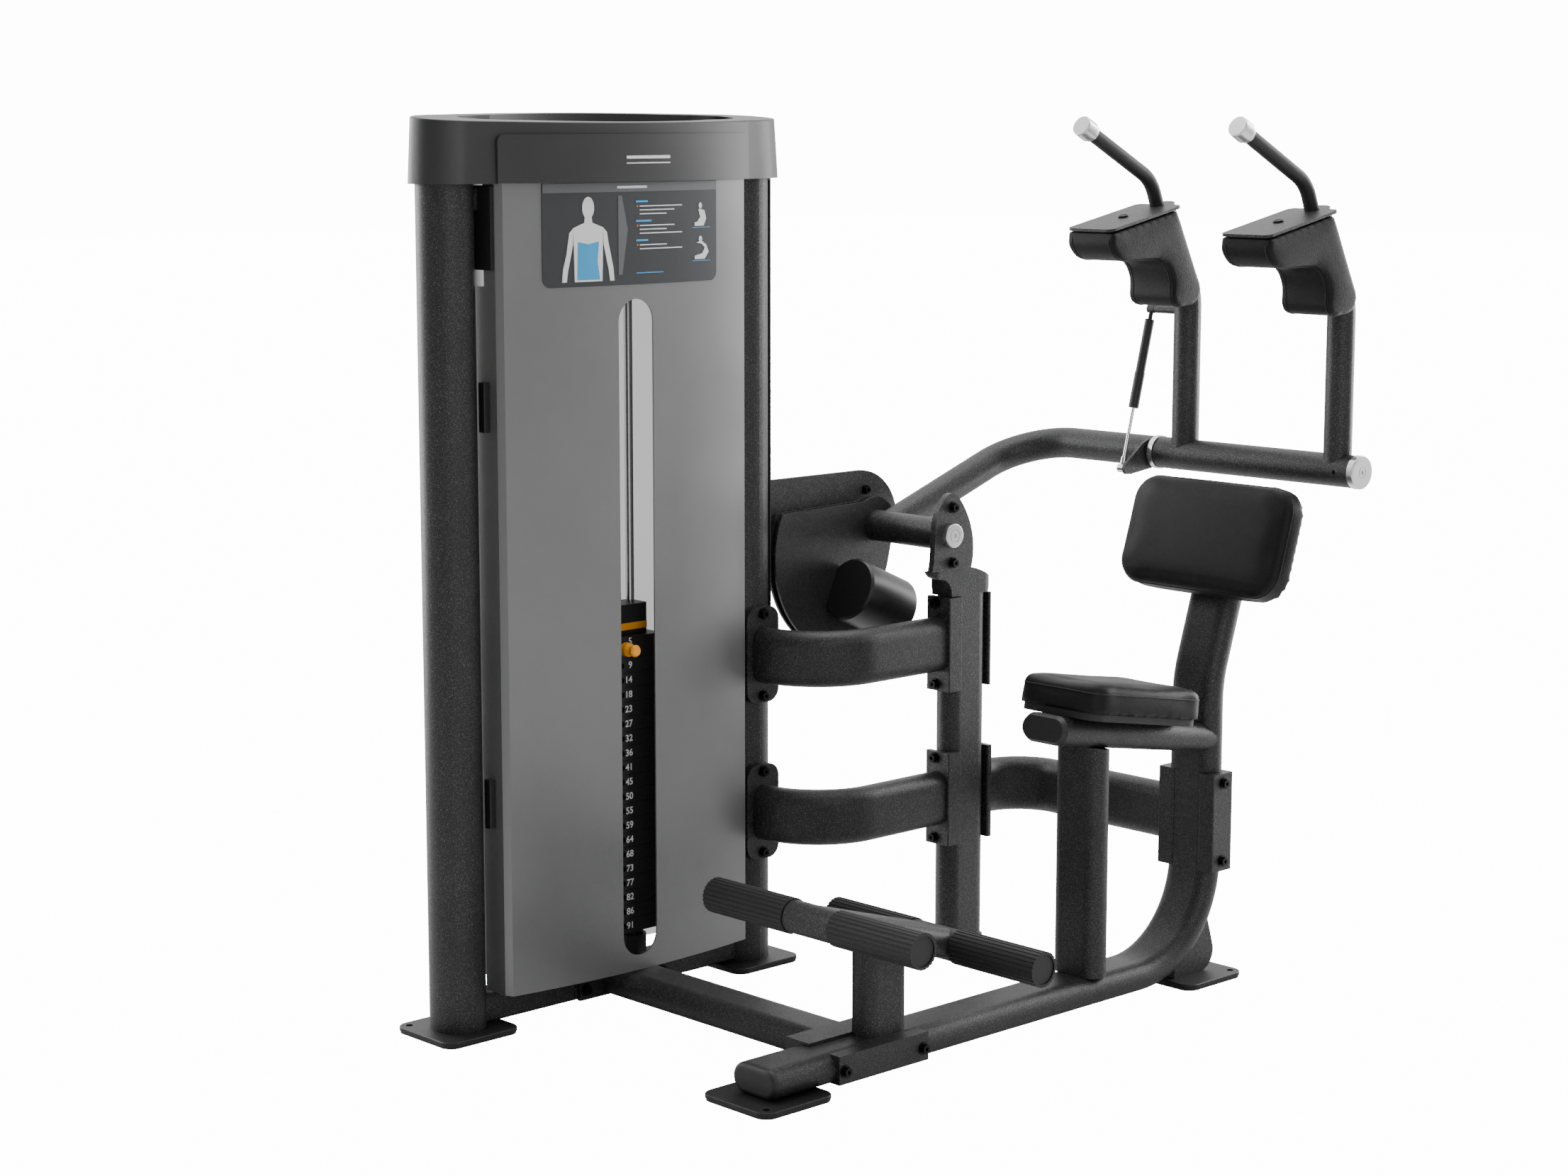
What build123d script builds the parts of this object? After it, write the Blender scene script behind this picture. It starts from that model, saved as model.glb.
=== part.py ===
"""Selectorised strength machine: a weight-stack tower joined to a seat with a shoulder lever arm.

Millimetres and degrees. z is up from the floor, +y runs from the front of the seat to its back,
and +x runs from the tower to the seat. All places are given from the tower centre; at() moves
them into the row frame. One STEP file is written per piece.
"""
from build123d import *
import math
import os

os.makedirs("parts", exist_ok=True)

# ---------------------------------------------------------------- driving dimensions
TOWER_X, TOWER_Y = -366.05, -318.8   # tower centre in the row frame
SEAT_X = 614.7                       # mid-plane of the seat
FIT = 0.05                           # gap round a part let into another
RUN = 0.05                           # radial running clearance

# tower
POST_R, POST_WALL = 47.25, 3.0
POST_Y = 322.0                       # half spacing of the round posts
POST_TOP = 1404.0                    # underside of the pulley brackets
POST_END = 1416.0                    # post tops, inside the crown

# feet
FOOT, FOOT_CORNER = 153.0, 23.0      # square plate and its corner radius
PAD_T, PLATE_T = 4.0, 7.0            # rubber pad and steel plate
FRAME_Z = PAD_T + PLATE_T            # top of the feet

# flat-oval frame tube
TUBE_W, TUBE_T, WALL = 100.0, 50.0, 3.0
RAIL_Z, RAIL_Y0 = 36.0, -205.0       # floor rail centre height and front end
UPRIGHT_Y = 849.1                    # back upright
BEND_R = 180.0                       # bend from the floor rail into the upright
LEAN, LEAN_Z = 18.0, 535.0           # backward lean of the upper upright, height where it starts
LEAN_BEND_R, UPRIGHT_LEN = 220.0, 268.0
SEAT_POST_Y = 546.6
SEAT_Y0, SEAT_Z0 = 450, 501          # front end of the seat frame tube, centre
SEAT_TILT = 9.62                     # seat falls towards the back
FOOT_POST_Y = 56.4
CROSS_Y = 15.0                       # cross tube between rail and tower
COLUMN_X, COLUMN_Y = 190.1, 687.8    # middle column
COLUMN_W, COLUMN_T = 98, 50
BRACE_Z = (570.0, 285.0)             # centre heights of the two front braces
REAR_BRACE_Z = 288.0

# foot bars, (y, z)
FRONT_BAR, REAR_BAR = (-82.5, 266.0), (190.8, 184.3)
ROLLER_R, ROLLER_L, ROLLER_IN = 29.0, 184.0, 51.0
BAR_R = 12

# lever arm
PIVOT_Y, PIVOT_Z, SHAFT_R = 631.0, 771.0, 12.5
ARM_X, ARM_R, ARM_BEND_R = 60.0, 28.5, 120.0
SLEEVE_Y, SLEEVE_Z, SLEEVE_HALF = 1007.6, 906.7, 223.4
SLEEVE_X0, SLEEVE_X1 = SEAT_X - SLEEVE_HALF, SEAT_X + SLEEVE_HALF
ARM_SHAFT_R = 20
STRUT_X = 361.0
STRUT_TOP_Z = 1167.0

# shoulder uprights
SHOULDER_X, SHOULDER_R = 169.8, 24.6  # offset from the seat mid-plane
SHOULDER_LEAN, SHOULDER_BEND_R = math.radians(27.0), 90.0
SHOULDER_BEND_Z, SHOULDER_TOP_LEN = 1196.0, 177.0

# belt and pulleys
BELT_X, BELT_W, BELT_T = 16.0, 12.0, 2.4
BELT_X0, BELT_X1 = BELT_X - BELT_W / 2, BELT_X + BELT_W / 2
HALF_T = BELT_T / 2
BELT_Y = 372.0                       # vertical belt run beside the +y post
PULLEY_R, PULLEY_Z = 36.2, 1450.0    # belt centre-line radius and axle height in the crown
REDIRECT_R, REDIRECT_Z = 20.2, 575.0
CAM_R = 226.0                        # belt centre-line radius on the cam
AXLE_R = 6.0
FRONT_AXLE = (PULLEY_R, PULLEY_Z)    # axle centres, (y, z)
REAR_AXLE = (BELT_Y - PULLEY_R, PULLEY_Z)
REDIRECT_AXLE = (BELT_Y + REDIRECT_R, REDIRECT_Z)
AXLES = (FRONT_AXLE, REAR_AXLE, REDIRECT_AXLE)

# weight stack
STACK_X0, STACK_X1, STACK_Y = -38.0, 50.0, 90.0
STACK_X = (STACK_X0 + STACK_X1) / 2
PITCH, PLATE_COUNT, STACK_Z0 = 25.4, 19, 118.9
ROD_X, ROD_Y, ROD_R = 5.0, 57.0, 7.5  # guide rods; the stem shares their x
STEM_R = 12
PIN_RISE = 12.4                      # pin hole above the bottom of each plate
TOP_Z = STACK_Z0 + PLATE_COUNT * PITCH
TOP_T = 36
PIN_Z = TOP_Z + 18.0
PIN_HOLE_R = 5.0

BACK, FRONT = (0, 1, 0), (0, -1, 0)


# ---------------------------------------------------------------- helpers
# A sketch made in a helper is not pending in the calling part, so each is passed on explicitly.
def at(x, y, z):
    """Point given from the tower centre, in the row frame."""
    return (x + TOWER_X, y + TOWER_Y, z)


def cross_plane(x, y, z, normal=(0, 0, 1)):
    """Plane with local x along +X; horizontal unless a normal is given."""
    return Plane(origin=at(x, y, z), x_dir=(1, 0, 0), z_dir=normal)


def x_plane(x, y, z):
    """Plane facing +X, with local x along +Y and local y along +Z."""
    return Plane(origin=at(x, y, z), x_dir=(0, 1, 0), z_dir=(1, 0, 0))


def rod(start, end, radius, inner=0.0, mode=Mode.ADD):
    """Cylinder between two points, hollow when inner is given."""
    p, q = Vector(*at(*start)), Vector(*at(*end))
    with BuildSketch(Plane(origin=p, z_dir=(q - p).normalized())) as section:
        Circle(radius)
        if inner > 0:
            Circle(inner, mode=Mode.SUBTRACT)
    extrude(section.sketch, amount=(q - p).length, mode=mode)


def rod_x(x0, x1, y, z, radius, inner=0.0, mode=Mode.ADD):
    rod((x0, y, z), (x1, y, z), radius, inner, mode)


def rod_z(x, y, z0, z1, radius, inner=0.0, mode=Mode.ADD):
    rod((x, y, z0), (x, y, z1), radius, inner, mode)


def block(x0, x1, y0, y1, z0, z1, corner=0.0, mode=Mode.ADD):
    """Box between limits, with its vertical edges rounded when corner is given."""
    with BuildSketch(cross_plane((x0 + x1) / 2, (y0 + y1) / 2, z0)) as section:
        if corner > 0:
            RectangleRounded(x1 - x0, y1 - y0, corner)
        else:
            Rectangle(x1 - x0, y1 - y0)
    extrude(section.sketch, amount=z1 - z0, mode=mode)


def oval(plane, width=TUBE_W, thickness=TUBE_T, wall=0.0, rotation=0):
    """Flat-oval sketch, hollow when wall is given."""
    with BuildSketch(plane) as section:
        SlotOverall(width, thickness, rotation=rotation)
        if wall > 0:
            SlotOverall(width - 2 * wall, thickness - 2 * wall, rotation=rotation,
                        mode=Mode.SUBTRACT)
    return section.sketch


def oval_z(x, y, z0, z1, rotation=0, width=TUBE_W, thickness=TUBE_T, wall=0.0, mode=Mode.ADD):
    """Vertical flat-oval bar; rotation 90 sets the width along y."""
    section = oval(cross_plane(x, y, z0), width, thickness, wall, rotation)
    extrude(section, amount=z1 - z0, mode=mode)


def trace(start, steps):
    """Draw edges in the open BuildLine: a step is an end point or an arc's (middle, end)."""
    for step in steps:
        if isinstance(step[0], tuple):
            middle, end = step
            ThreePointArc(start, middle, end)
        else:
            end = step
            Line(start, end)
        start = end
    return start


def outline(start, *steps, mode=Mode.ADD):
    """Closed face in the open BuildSketch, from steps as in trace()."""
    with BuildLine() as edge:
        last = trace(start, steps)
        if last != start:
            Line(last, start)
    make_face(edge.edges(), mode=mode)


def path(start, *steps):
    """Wire through points given from the tower centre, from steps as in trace()."""
    placed = [tuple(at(*p) for p in step) if isinstance(step[0], tuple) else at(*step)
              for step in steps]
    with BuildLine(mode=Mode.PRIVATE) as line:
        trace(at(*start), placed)
    return line.wires()[0]


def profile_x(x0, x1, start, *steps):
    """Outline of (y, z) points extruded from x0 to x1."""
    with BuildSketch(x_plane(x0, 0, 0)) as profile:
        outline(start, *steps)
    extrude(profile.sketch, amount=x1 - x0)


def arc_strip(x0, x1, y, z, outer, inner, angle0, angle1):
    """Part of a flat ring about an axis along x, from angle0 to angle1."""
    def polar(radius, angle):
        return (radius * math.cos(math.radians(angle)), radius * math.sin(math.radians(angle)))

    middle = (angle0 + angle1) / 2
    with BuildSketch(x_plane(x0, y, z)) as strip:
        outline(polar(outer, angle0),
                (polar(outer, middle), polar(outer, angle1)),
                polar(inner, angle1),
                (polar(inner, middle), polar(inner, angle0)))
    extrude(strip.sketch, amount=x1 - x0)


def turned_x(x, y, z, points):
    """Turned solid about an axis along x, from (distance along x, radius) points."""
    with BuildSketch(cross_plane(x, y, z, BACK)) as profile:
        outline(*points)
    revolve(profile.sketch, axis=Axis(at(x, y, z), (1, 0, 0)), revolution_arc=360)


def cut_post(side, z0, z1):
    """Clear the tower post on the given y side."""
    rod_z(0, side * POST_Y, z0, z1, POST_R + FIT, mode=Mode.SUBTRACT)


def cut_cap_face(x, y, z, groove_r):
    """Ring groove and centre hole in a cap whose outer face is at x."""
    rod_x(x - 1.5, x + 2, y, z, groove_r, groove_r - 1.5, mode=Mode.SUBTRACT)
    rod_x(x - 4, x + 2, y, z, 3.2, mode=Mode.SUBTRACT)


def save(builder, name):
    builder.part.label = name
    export_step(builder.part, "parts/" + name + ".step")


# ---------------------------------------------------------------- feet
# x, y, then the direction of the corner with the hole
FEET = [
    (0, -POST_Y, -1, -1), (0, POST_Y, -1, 1),
    (SEAT_X, -185.4, 1, -1), (SEAT_X, 826.3, 1, 1),
]
FOOT_HOLE = 58                       # hole offset from the foot centre, both ways


def feet(size, corner, z, thickness, hole_r):
    for x, y, hole_x, hole_y in FEET:
        with BuildSketch(cross_plane(x, y, z)) as section:
            RectangleRounded(size, size, corner)
            with Locations((FOOT_HOLE * hole_x, FOOT_HOLE * hole_y)):
                Circle(hole_r, mode=Mode.SUBTRACT)
        extrude(section.sketch, amount=thickness)


with BuildPart() as foot_pads:
    feet(FOOT - 3, FOOT_CORNER - 1.5, z=0, thickness=PAD_T, hole_r=7)
save(foot_pads, "foot_pads")

with BuildPart() as foot_plates:
    feet(FOOT, FOOT_CORNER, z=PAD_T, thickness=PLATE_T, hole_r=6)
    top_lines = foot_plates.edges().filter_by(GeomType.LINE).group_by(Axis.Z)[-1]
    chamfer(top_lines.filter_by(lambda e: e.length > 50), 1.2)
save(foot_plates, "foot_plates")

# ---------------------------------------------------------------- tower frame
with BuildPart() as tower_posts:
    for side in (-1, 1):
        rod_z(0, side * POST_Y, FRAME_Z, POST_END, POST_R, POST_R - POST_WALL)
    # slot in the +y post round the pulleys and their brackets
    block(BELT_X - 22, BELT_X + 22, 200, 400, POST_TOP - 0.1, POST_END + 4, mode=Mode.SUBTRACT)
save(tower_posts, "tower_posts")

BEAM_Y = 300                         # half length before the posts are cleared
BEAM_W, LOW_BEAM_Z, TOP_BEAM_T = 50, 37, 40
with BuildPart() as tower_beams:
    with BuildSketch(cross_plane(0, -BEAM_Y, LOW_BEAM_Z, BACK)) as low_beam:
        RectangleRounded(BEAM_W, BEAM_W, 6)
        RectangleRounded(BEAM_W - 2 * WALL, BEAM_W - 2 * WALL, 3, mode=Mode.SUBTRACT)
    extrude(low_beam.sketch, amount=2 * BEAM_Y)
    with BuildSketch(cross_plane(0, -BEAM_Y, POST_TOP - TOP_BEAM_T / 2, BACK)) as top_beam:
        RectangleRounded(BEAM_W, TOP_BEAM_T, 5)
    extrude(top_beam.sketch, amount=2 * BEAM_Y)
    for side in (-1, 1):
        cut_post(side, 0, 1420)
    # slot for the belt
    block(BELT_X - 9, BELT_X + 8.9, -6, 6, 1360, 1410, mode=Mode.SUBTRACT)
save(tower_beams, "tower_beams")

ROD_Z0, CUSHION_STEP_Z = 62, 102
with BuildPart() as guide_rods:
    for side in (-1, 1):
        rod_z(ROD_X, side * ROD_Y, ROD_Z0, POST_TOP - TOP_BEAM_T, ROD_R)
save(guide_rods, "guide_rods")

with BuildPart() as stack_cushions:
    for side in (-1, 1):
        rod_z(ROD_X, side * ROD_Y, ROD_Z0, CUSHION_STEP_Z, 24, ROD_R + 0.4)
        rod_z(ROD_X, side * ROD_Y, CUSHION_STEP_Z, STACK_Z0 - 0.1, 19, ROD_R + 0.4)
save(stack_cushions, "stack_cushions")


# ---------------------------------------------------------------- weight stack
def stack_plate(z, thickness, stem_hole_r, pin_z, pin_hole_r):
    """Plate with holes for the guide rods, the stem and, from +x, the pin."""
    with BuildSketch(cross_plane(STACK_X, 0, z)) as section:
        RectangleRounded(STACK_X1 - STACK_X0, 2 * STACK_Y, 5)
        with Locations((ROD_X - STACK_X, ROD_Y), (ROD_X - STACK_X, -ROD_Y)):
            Circle(9.5, mode=Mode.SUBTRACT)
        with Locations((ROD_X - STACK_X, 0)):
            Circle(stem_hole_r, mode=Mode.SUBTRACT)
    extrude(section.sketch, amount=thickness)
    rod_x(ROD_X + 5, STACK_X1 + 2, 0, pin_z, pin_hole_r, mode=Mode.SUBTRACT)


with BuildPart() as weight_plates:
    for i in range(PLATE_COUNT):
        z = STACK_Z0 + i * PITCH
        stack_plate(z, PITCH - 0.5, 14, z + PIN_RISE, 5.2)
save(weight_plates, "weight_plates")

with BuildPart() as top_plate:
    stack_plate(TOP_Z, TOP_T, STEM_R + RUN, PIN_Z, PIN_HOLE_R)
save(top_plate, "top_plate")

with BuildPart() as selector_stem:
    rod_z(ROD_X, 0, 124, TOP_Z + TOP_T - 0.1, STEM_R)
    plate_pins = [STACK_Z0 + i * PITCH + PIN_RISE for i in range(PLATE_COUNT)]
    for z in plate_pins + [PIN_Z]:
        rod_x(ROD_X - 14, ROD_X + 14, 0, z, PIN_HOLE_R, mode=Mode.SUBTRACT)
save(selector_stem, "selector_stem")

BAND_Z0, BAND_Z1 = TOP_Z + 44, TOP_Z + 56   # recess round the carriage block
CARRIAGE_TOP = TOP_Z + 110
with BuildPart() as carriage_block:
    block(-18, 30, -75, 75, TOP_Z + TOP_T, BAND_Z0, 4)
    block(-16, 28, -73, 73, BAND_Z0, BAND_Z1, 3)
    block(-18, 30, -75, 75, BAND_Z1, TOP_Z + 88, 4)
    block(2, 30, -18, 18, TOP_Z + 88, CARRIAGE_TOP, 3)
    for side in (-1, 1):
        rod_z(ROD_X, side * ROD_Y, TOP_Z + 30, TOP_Z + 120, ROD_R + RUN, mode=Mode.SUBTRACT)
save(carriage_block, "carriage_block")

with BuildPart() as carriage_band:
    block(-18.5, 30.5, -75.5, 75.5, BAND_Z0 + FIT, BAND_Z1 - FIT, 4)
    block(-16 - FIT, 28 + FIT, -73 - FIT, 73 + FIT, BAND_Z0, BAND_Z1, 3, mode=Mode.SUBTRACT)
save(carriage_band, "carriage_band")

with BuildPart() as selector_pin:
    rod_x(ROD_X - 9, STACK_X1 + 10, 0, PIN_Z, 4.95)
    rod_x(STACK_X1 + 0.2, STACK_X1 + 6, 0, PIN_Z, 9)
save(selector_pin, "selector_pin")

# (distance along x, radius)
KNOB_PROFILE = [
    (0, 4.97), (0, 10), (4, 12), (14, 12), (22, 8.5),
    (30, 10.5), (34, 8), (34, 0), (4, 0), (4, 4.97),
]
with BuildPart() as selector_knob:
    turned_x(STACK_X1 + 6 + FIT, 0, PIN_Z, KNOB_PROFILE)
save(selector_knob, "selector_knob")

# ---------------------------------------------------------------- belt
with BuildPart() as belt_lift:
    block(BELT_X0, BELT_X1, -HALF_T, HALF_T, CARRIAGE_TOP, PULLEY_Z - 0.1)
save(belt_lift, "belt_lift")

# common tangent of the redirect pulley and the cam, from the angle of their centre line
centre_y, centre_z = PIVOT_Y - REDIRECT_AXLE[0], PIVOT_Z - REDIRECT_Z
tangent_slope = (math.degrees(math.atan2(centre_z, centre_y))
                 - math.degrees(math.asin((CAM_R - REDIRECT_R) / math.hypot(centre_y, centre_z))))
contact = math.radians(270 + tangent_slope)
contact_dir = (math.cos(contact), math.sin(contact))


def belt_arc(axle, radius, angle0, angle1):
    arc_strip(BELT_X0, BELT_X1, *axle, radius + HALF_T, radius - HALF_T, angle0, angle1)


def belt_straight(start, end, normal):
    """Flat run between two (y, z) points; normal is the unit vector across the belt."""
    def shifted(point, distance):
        return (point[0] + normal[0] * distance, point[1] + normal[1] * distance)

    profile_x(BELT_X0, BELT_X1, shifted(start, -HALF_T), shifted(end, -HALF_T),
              shifted(end, HALF_T), shifted(start, HALF_T))


def contact_point(y, z, radius):
    return (y + radius * contact_dir[0], z + radius * contact_dir[1])


with BuildPart() as belt_run:
    belt_arc(FRONT_AXLE, PULLEY_R, 180, 90)
    belt_straight((FRONT_AXLE[0], PULLEY_Z + PULLEY_R), (REAR_AXLE[0], PULLEY_Z + PULLEY_R), (0, 1))
    belt_arc(REAR_AXLE, PULLEY_R, 90, 0)
    belt_straight((BELT_Y, REDIRECT_Z), (BELT_Y, PULLEY_Z), (-1, 0))
    belt_arc(REDIRECT_AXLE, REDIRECT_R, 180, math.degrees(contact))
    belt_straight(contact_point(*REDIRECT_AXLE, REDIRECT_R),
                  contact_point(PIVOT_Y, PIVOT_Z, CAM_R), contact_dir)
save(belt_run, "belt_run")

# ---------------------------------------------------------------- pulleys
BELT_SEAT = HALF_T + 0.3             # belt centre line above a groove floor


def pulley(axle, belt_r, flange, hole_count):
    root = belt_r - BELT_SEAT
    bore = AXLE_R + RUN
    turned_x(BELT_X, *axle, [
        (-9, bore), (9, bore), (9, flange), (7.2, flange),
        (6.6, root), (-6.6, root), (-7.2, flange), (-9, flange),
    ])
    for k in range(hole_count):
        angle = math.radians(60 * k)
        rod_x(BELT_X - 12, BELT_X + 12, axle[0] + 22 * math.cos(angle),
              axle[1] + 22 * math.sin(angle), 5, mode=Mode.SUBTRACT)


# name, axle, belt radius, flange radius, number of holes through the web
PULLEYS = [
    ("pulley_front", FRONT_AXLE, PULLEY_R, 38.4, 6),
    ("pulley_rear", REAR_AXLE, PULLEY_R, 38.4, 6),
    ("pulley_redirect", REDIRECT_AXLE, REDIRECT_R, 22, 0),
]
for name, axle, belt_r, flange, hole_count in PULLEYS:
    with BuildPart() as pulley_part:
        pulley(axle, belt_r, flange, hole_count)
    save(pulley_part, name)

with BuildPart() as pulley_brackets:
    for x in (BELT_X - 14, BELT_X + 10):
        block(x, x + 4, -8, 364, POST_TOP, 1493)
        block(x, x + 4, 360, 408, REDIRECT_Z - 18, REDIRECT_Z + 18)
    block(BELT_X - 10, BELT_X + 10, 150, 210, POST_TOP, POST_TOP + 6)
    cut_post(1, 500, POST_TOP - 2)
    for axle in AXLES:
        rod_x(BELT_X - 30, BELT_X + 30, *axle, AXLE_R, mode=Mode.SUBTRACT)
save(pulley_brackets, "pulley_brackets")

# pulley axles and the arm's pivot shaft
with BuildPart() as shafts:
    for axle in AXLES:
        rod_x(BELT_X - 18, BELT_X + 18, *axle, AXLE_R)
    rod_x(-24, 220, PIVOT_Y, PIVOT_Z, SHAFT_R)
save(shafts, "shafts")

# ---------------------------------------------------------------- crown
CROWN_Z0, CROWN_Z1 = 1408.3, 1522.0
CROWN_X = 106                        # half width at the lower edge
CROWN_END = 385.0                    # half length at the lower edge
RIM_Z, RIM_FALL = 1513.0, 8.0        # rim height over the posts, and its fall by x = 103


def crown_outline(half_x, half_y, side_y=270.0):
    """Plan of the crown: shallow arcs on the x sides, rounded ends at +-half_y."""
    corner = half_x - 32
    with BuildLine() as edge:
        for s in (1, -1):
            ThreePointArc((s * corner, -s * side_y), (s * half_x, 0), (s * corner, s * side_y))
            Spline((s * corner, s * side_y), (s * 0.74 * corner, s * (half_y - 37)),
                   (s * 0.38 * corner, s * (half_y - 6.5)), (0, s * half_y),
                   tangents=((-0.2 * s, s), (-s, 0)))
            Spline((0, s * half_y), (-s * 0.38 * corner, s * (half_y - 6.5)),
                   (-s * 0.74 * corner, s * (half_y - 37)), (-s * corner, s * side_y),
                   tangents=((-s, 0), (-0.2 * s, -s)))
    make_face(edge.edges())


def crown_body(margin=0.0, mode=Mode.ADD):
    """Solid crown tapering upwards, grown sideways by margin."""
    with BuildSketch(cross_plane(0, 5, CROWN_Z0)) as lower:
        crown_outline(CROWN_X + margin, CROWN_END + margin)
    with BuildSketch(cross_plane(0, 4, CROWN_Z1)) as upper:
        crown_outline(CROWN_X - 3 + margin, CROWN_END - 7 + margin)
    loft(sections=[lower.sketch, upper.sketch], ruled=True, mode=mode)


with BuildPart() as crown_shell:
    crown_body()
    # rim tilted down towards +x
    tilt_x = 130
    tilt_fall = RIM_FALL * tilt_x / 103
    with BuildSketch(cross_plane(0, -450, 0, FRONT)) as above_rim:
        outline((-tilt_x, RIM_Z + tilt_fall), (tilt_x, RIM_Z - tilt_fall),
                (tilt_x, 1570), (-tilt_x, 1570))
    extrude(above_rim.sketch, amount=-900, mode=Mode.SUBTRACT)
    fillet(crown_shell.faces().sort_by(Axis.Z)[-1].edges(), 2.5)
    with BuildSketch(cross_plane(0, 5, CROWN_Z0)) as cavity:
        crown_outline(99.5, CROWN_END - 10.5)
    extrude(cavity.sketch, amount=1495 - CROWN_Z0, mode=Mode.SUBTRACT)
    # shallow dish in the top
    with BuildSketch(cross_plane(0, 4, 1499.5)) as dish:
        crown_outline(86, CROWN_END - 96, side_y=190.0)
    extrude(dish.sketch, amount=60, mode=Mode.SUBTRACT)
    # relief in the end wall round the rear pulley and the belt below it
    rod_x(BELT_X - 9.6, BELT_X + 9.6, *REAR_AXLE, 39.0, mode=Mode.SUBTRACT)
    block(BELT_X - 9.6, BELT_X + 9.6, 340, REAR_AXLE[0] + 39.0, 1400, PULLEY_Z,
          mode=Mode.SUBTRACT)
save(crown_shell, "crown_shell")

# raised panel on the crown's +x side
PANEL_H = 78
with BuildPart() as crown_panel:
    with BuildSketch(cross_plane(0, -4, CROWN_Z0 + 0.1)) as panel_plan:
        outline((77.2, -270), ((108.4, 0), (77.2, 270)), (60, 270), (60, -270))
    extrude(panel_plan.sketch, amount=PANEL_H)
    with BuildSketch(x_plane(50, -4, CROWN_Z0 + 1 - 100 + PANEL_H)) as panel_face:
        RectangleRounded(538, 200, 14)
    extrude(panel_face.sketch, amount=70, mode=Mode.INTERSECT)
    crown_body(margin=0.3, mode=Mode.SUBTRACT)
save(crown_panel, "crown_panel")

# ---------------------------------------------------------------- shroud
SHROUD_Z0, SHROUD_Z1 = 65.0, 1408.0
RETURN_X = 9.0                       # -x edge of the side returns
NOTCH_Z = 1243.0                     # returns are notched above this for the hanger plates
SLOT_Z0, SLOT_Z1, SLOT_W = 91, 1215, 75

# bowed sheet on the +x side
with BuildPart() as shroud_front:
    with BuildSketch(cross_plane(0, 0, SHROUD_Z0)) as front_plan:
        outline((74, -262), ((94, 0), (74, 262)), (60, 268),
                (RETURN_X, 268), (RETURN_X, -268), (60, -268))
        outline((71.2, -259.5), ((91.2, 0), (71.2, 259.5)), (59.2, 265.2),
                (RETURN_X - 2, 265.2), (RETURN_X - 2, -265.2), (59.2, -265.2),
                mode=Mode.SUBTRACT)
    extrude(front_plan.sketch, amount=SHROUD_Z1 - SHROUD_Z0)
    slot = oval(x_plane(40, 0, (SLOT_Z0 + SLOT_Z1) / 2), SLOT_Z1 - SLOT_Z0, SLOT_W, rotation=90)
    extrude(slot, amount=80, mode=Mode.SUBTRACT)
    block(-20, 30, -280, 280, NOTCH_Z, SHROUD_Z1 + 10, mode=Mode.SUBTRACT)
save(shroud_front, "shroud_front")

# bowed sheet on the -x side
with BuildPart() as shroud_rear:
    with BuildSketch(cross_plane(0, 0, SHROUD_Z0)) as rear_plan:
        outline((-60, -262), ((-76, 0), (-60, 262)), (-34, 266), (-34, 263.5), (-57.5, 259.8),
                ((-73.2, 0), (-57.5, -259.8)), (-34, -263.5), (-34, -266))
    extrude(rear_plan.sketch, amount=SHROUD_Z1 - SHROUD_Z0)
save(shroud_rear, "shroud_rear")

CLIP_Y = 268.1                       # just outside the side returns
with BuildPart() as shroud_clips:
    for side in (-1, 1):
        for z0, z1 in ((1007, 1088), (348, 430)):
            block(26, 42, *sorted((side * CLIP_Y, side * 280)), z0, z1, 2)
        # hanger plate under the top beam, with a tongue on its +x side
        hanger_y = sorted((side * CLIP_Y, side * 275))
        block(8, 58, *hanger_y, 1270, POST_TOP - 40.2)
        block(25.2, 58, *hanger_y, POST_TOP - 41, POST_TOP)
    for side in (-1, 1):
        cut_post(side, 300, 1200)
save(shroud_clips, "shroud_clips")

PLACARD_Z, PLACARD_H = 1239, 192
with BuildPart() as placard:
    with BuildSketch(cross_plane(0, 0, PLACARD_Z)) as placard_plan:
        outline((75.2, -262), ((95.2, 0), (75.2, 262)), (74.2, 262), ((94.2, 0), (74.2, -262)))
    extrude(placard_plan.sketch, amount=SHROUD_Z1 - PLACARD_Z)
    with BuildSketch(x_plane(60, -1, PLACARD_Z + PLACARD_H / 2)) as placard_face:
        RectangleRounded(378, PLACARD_H, 16)
    extrude(placard_face.sketch, amount=60, mode=Mode.INTERSECT)
save(placard, "placard")

# ---------------------------------------------------------------- pivot bearing plates
# column-side plate, (y, z) points of its curved edge
BEARING_CURVE = [
    (583, 708.2), (588, 740), (590.5, 786), (598, 817), (612, 836.5), (631.5, 846.8),
    (651, 837), (666.5, 817), (680.6, 789.3), (689, 750), (684, 708.2),
]
with BuildPart() as bearing_plates:
    # plate and boss on the tower post
    profile_x(-16, -8, (366, 690), (366, 869.5), (628, 869.5),
              ((697, 837), (722, 764)), (655, 690))
    cut_post(1, 500, 1300)
    rod_x(-8, 2, PIVOT_Y, PIVOT_Z, 30)
    with BuildSketch(x_plane(208, 0, 0)) as column_plate:
        with BuildLine():
            Spline(*BEARING_CURVE)
            Line(BEARING_CURVE[-1], BEARING_CURVE[0])
        make_face()
    extrude(column_plate.sketch, amount=12)
    rod_x(-30, 240, PIVOT_Y, PIVOT_Z, SHAFT_R, mode=Mode.SUBTRACT)
save(bearing_plates, "bearing_plates")

with BuildPart() as pivot_cap:
    rod_x(220 + FIT, 230, PIVOT_Y, PIVOT_Z, 22)
    fillet(pivot_cap.edges().group_by(Axis.X)[-1], 2.5)
    cut_cap_face(230, PIVOT_Y, PIVOT_Z, groove_r=12)
save(pivot_cap, "pivot_cap")

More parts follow.
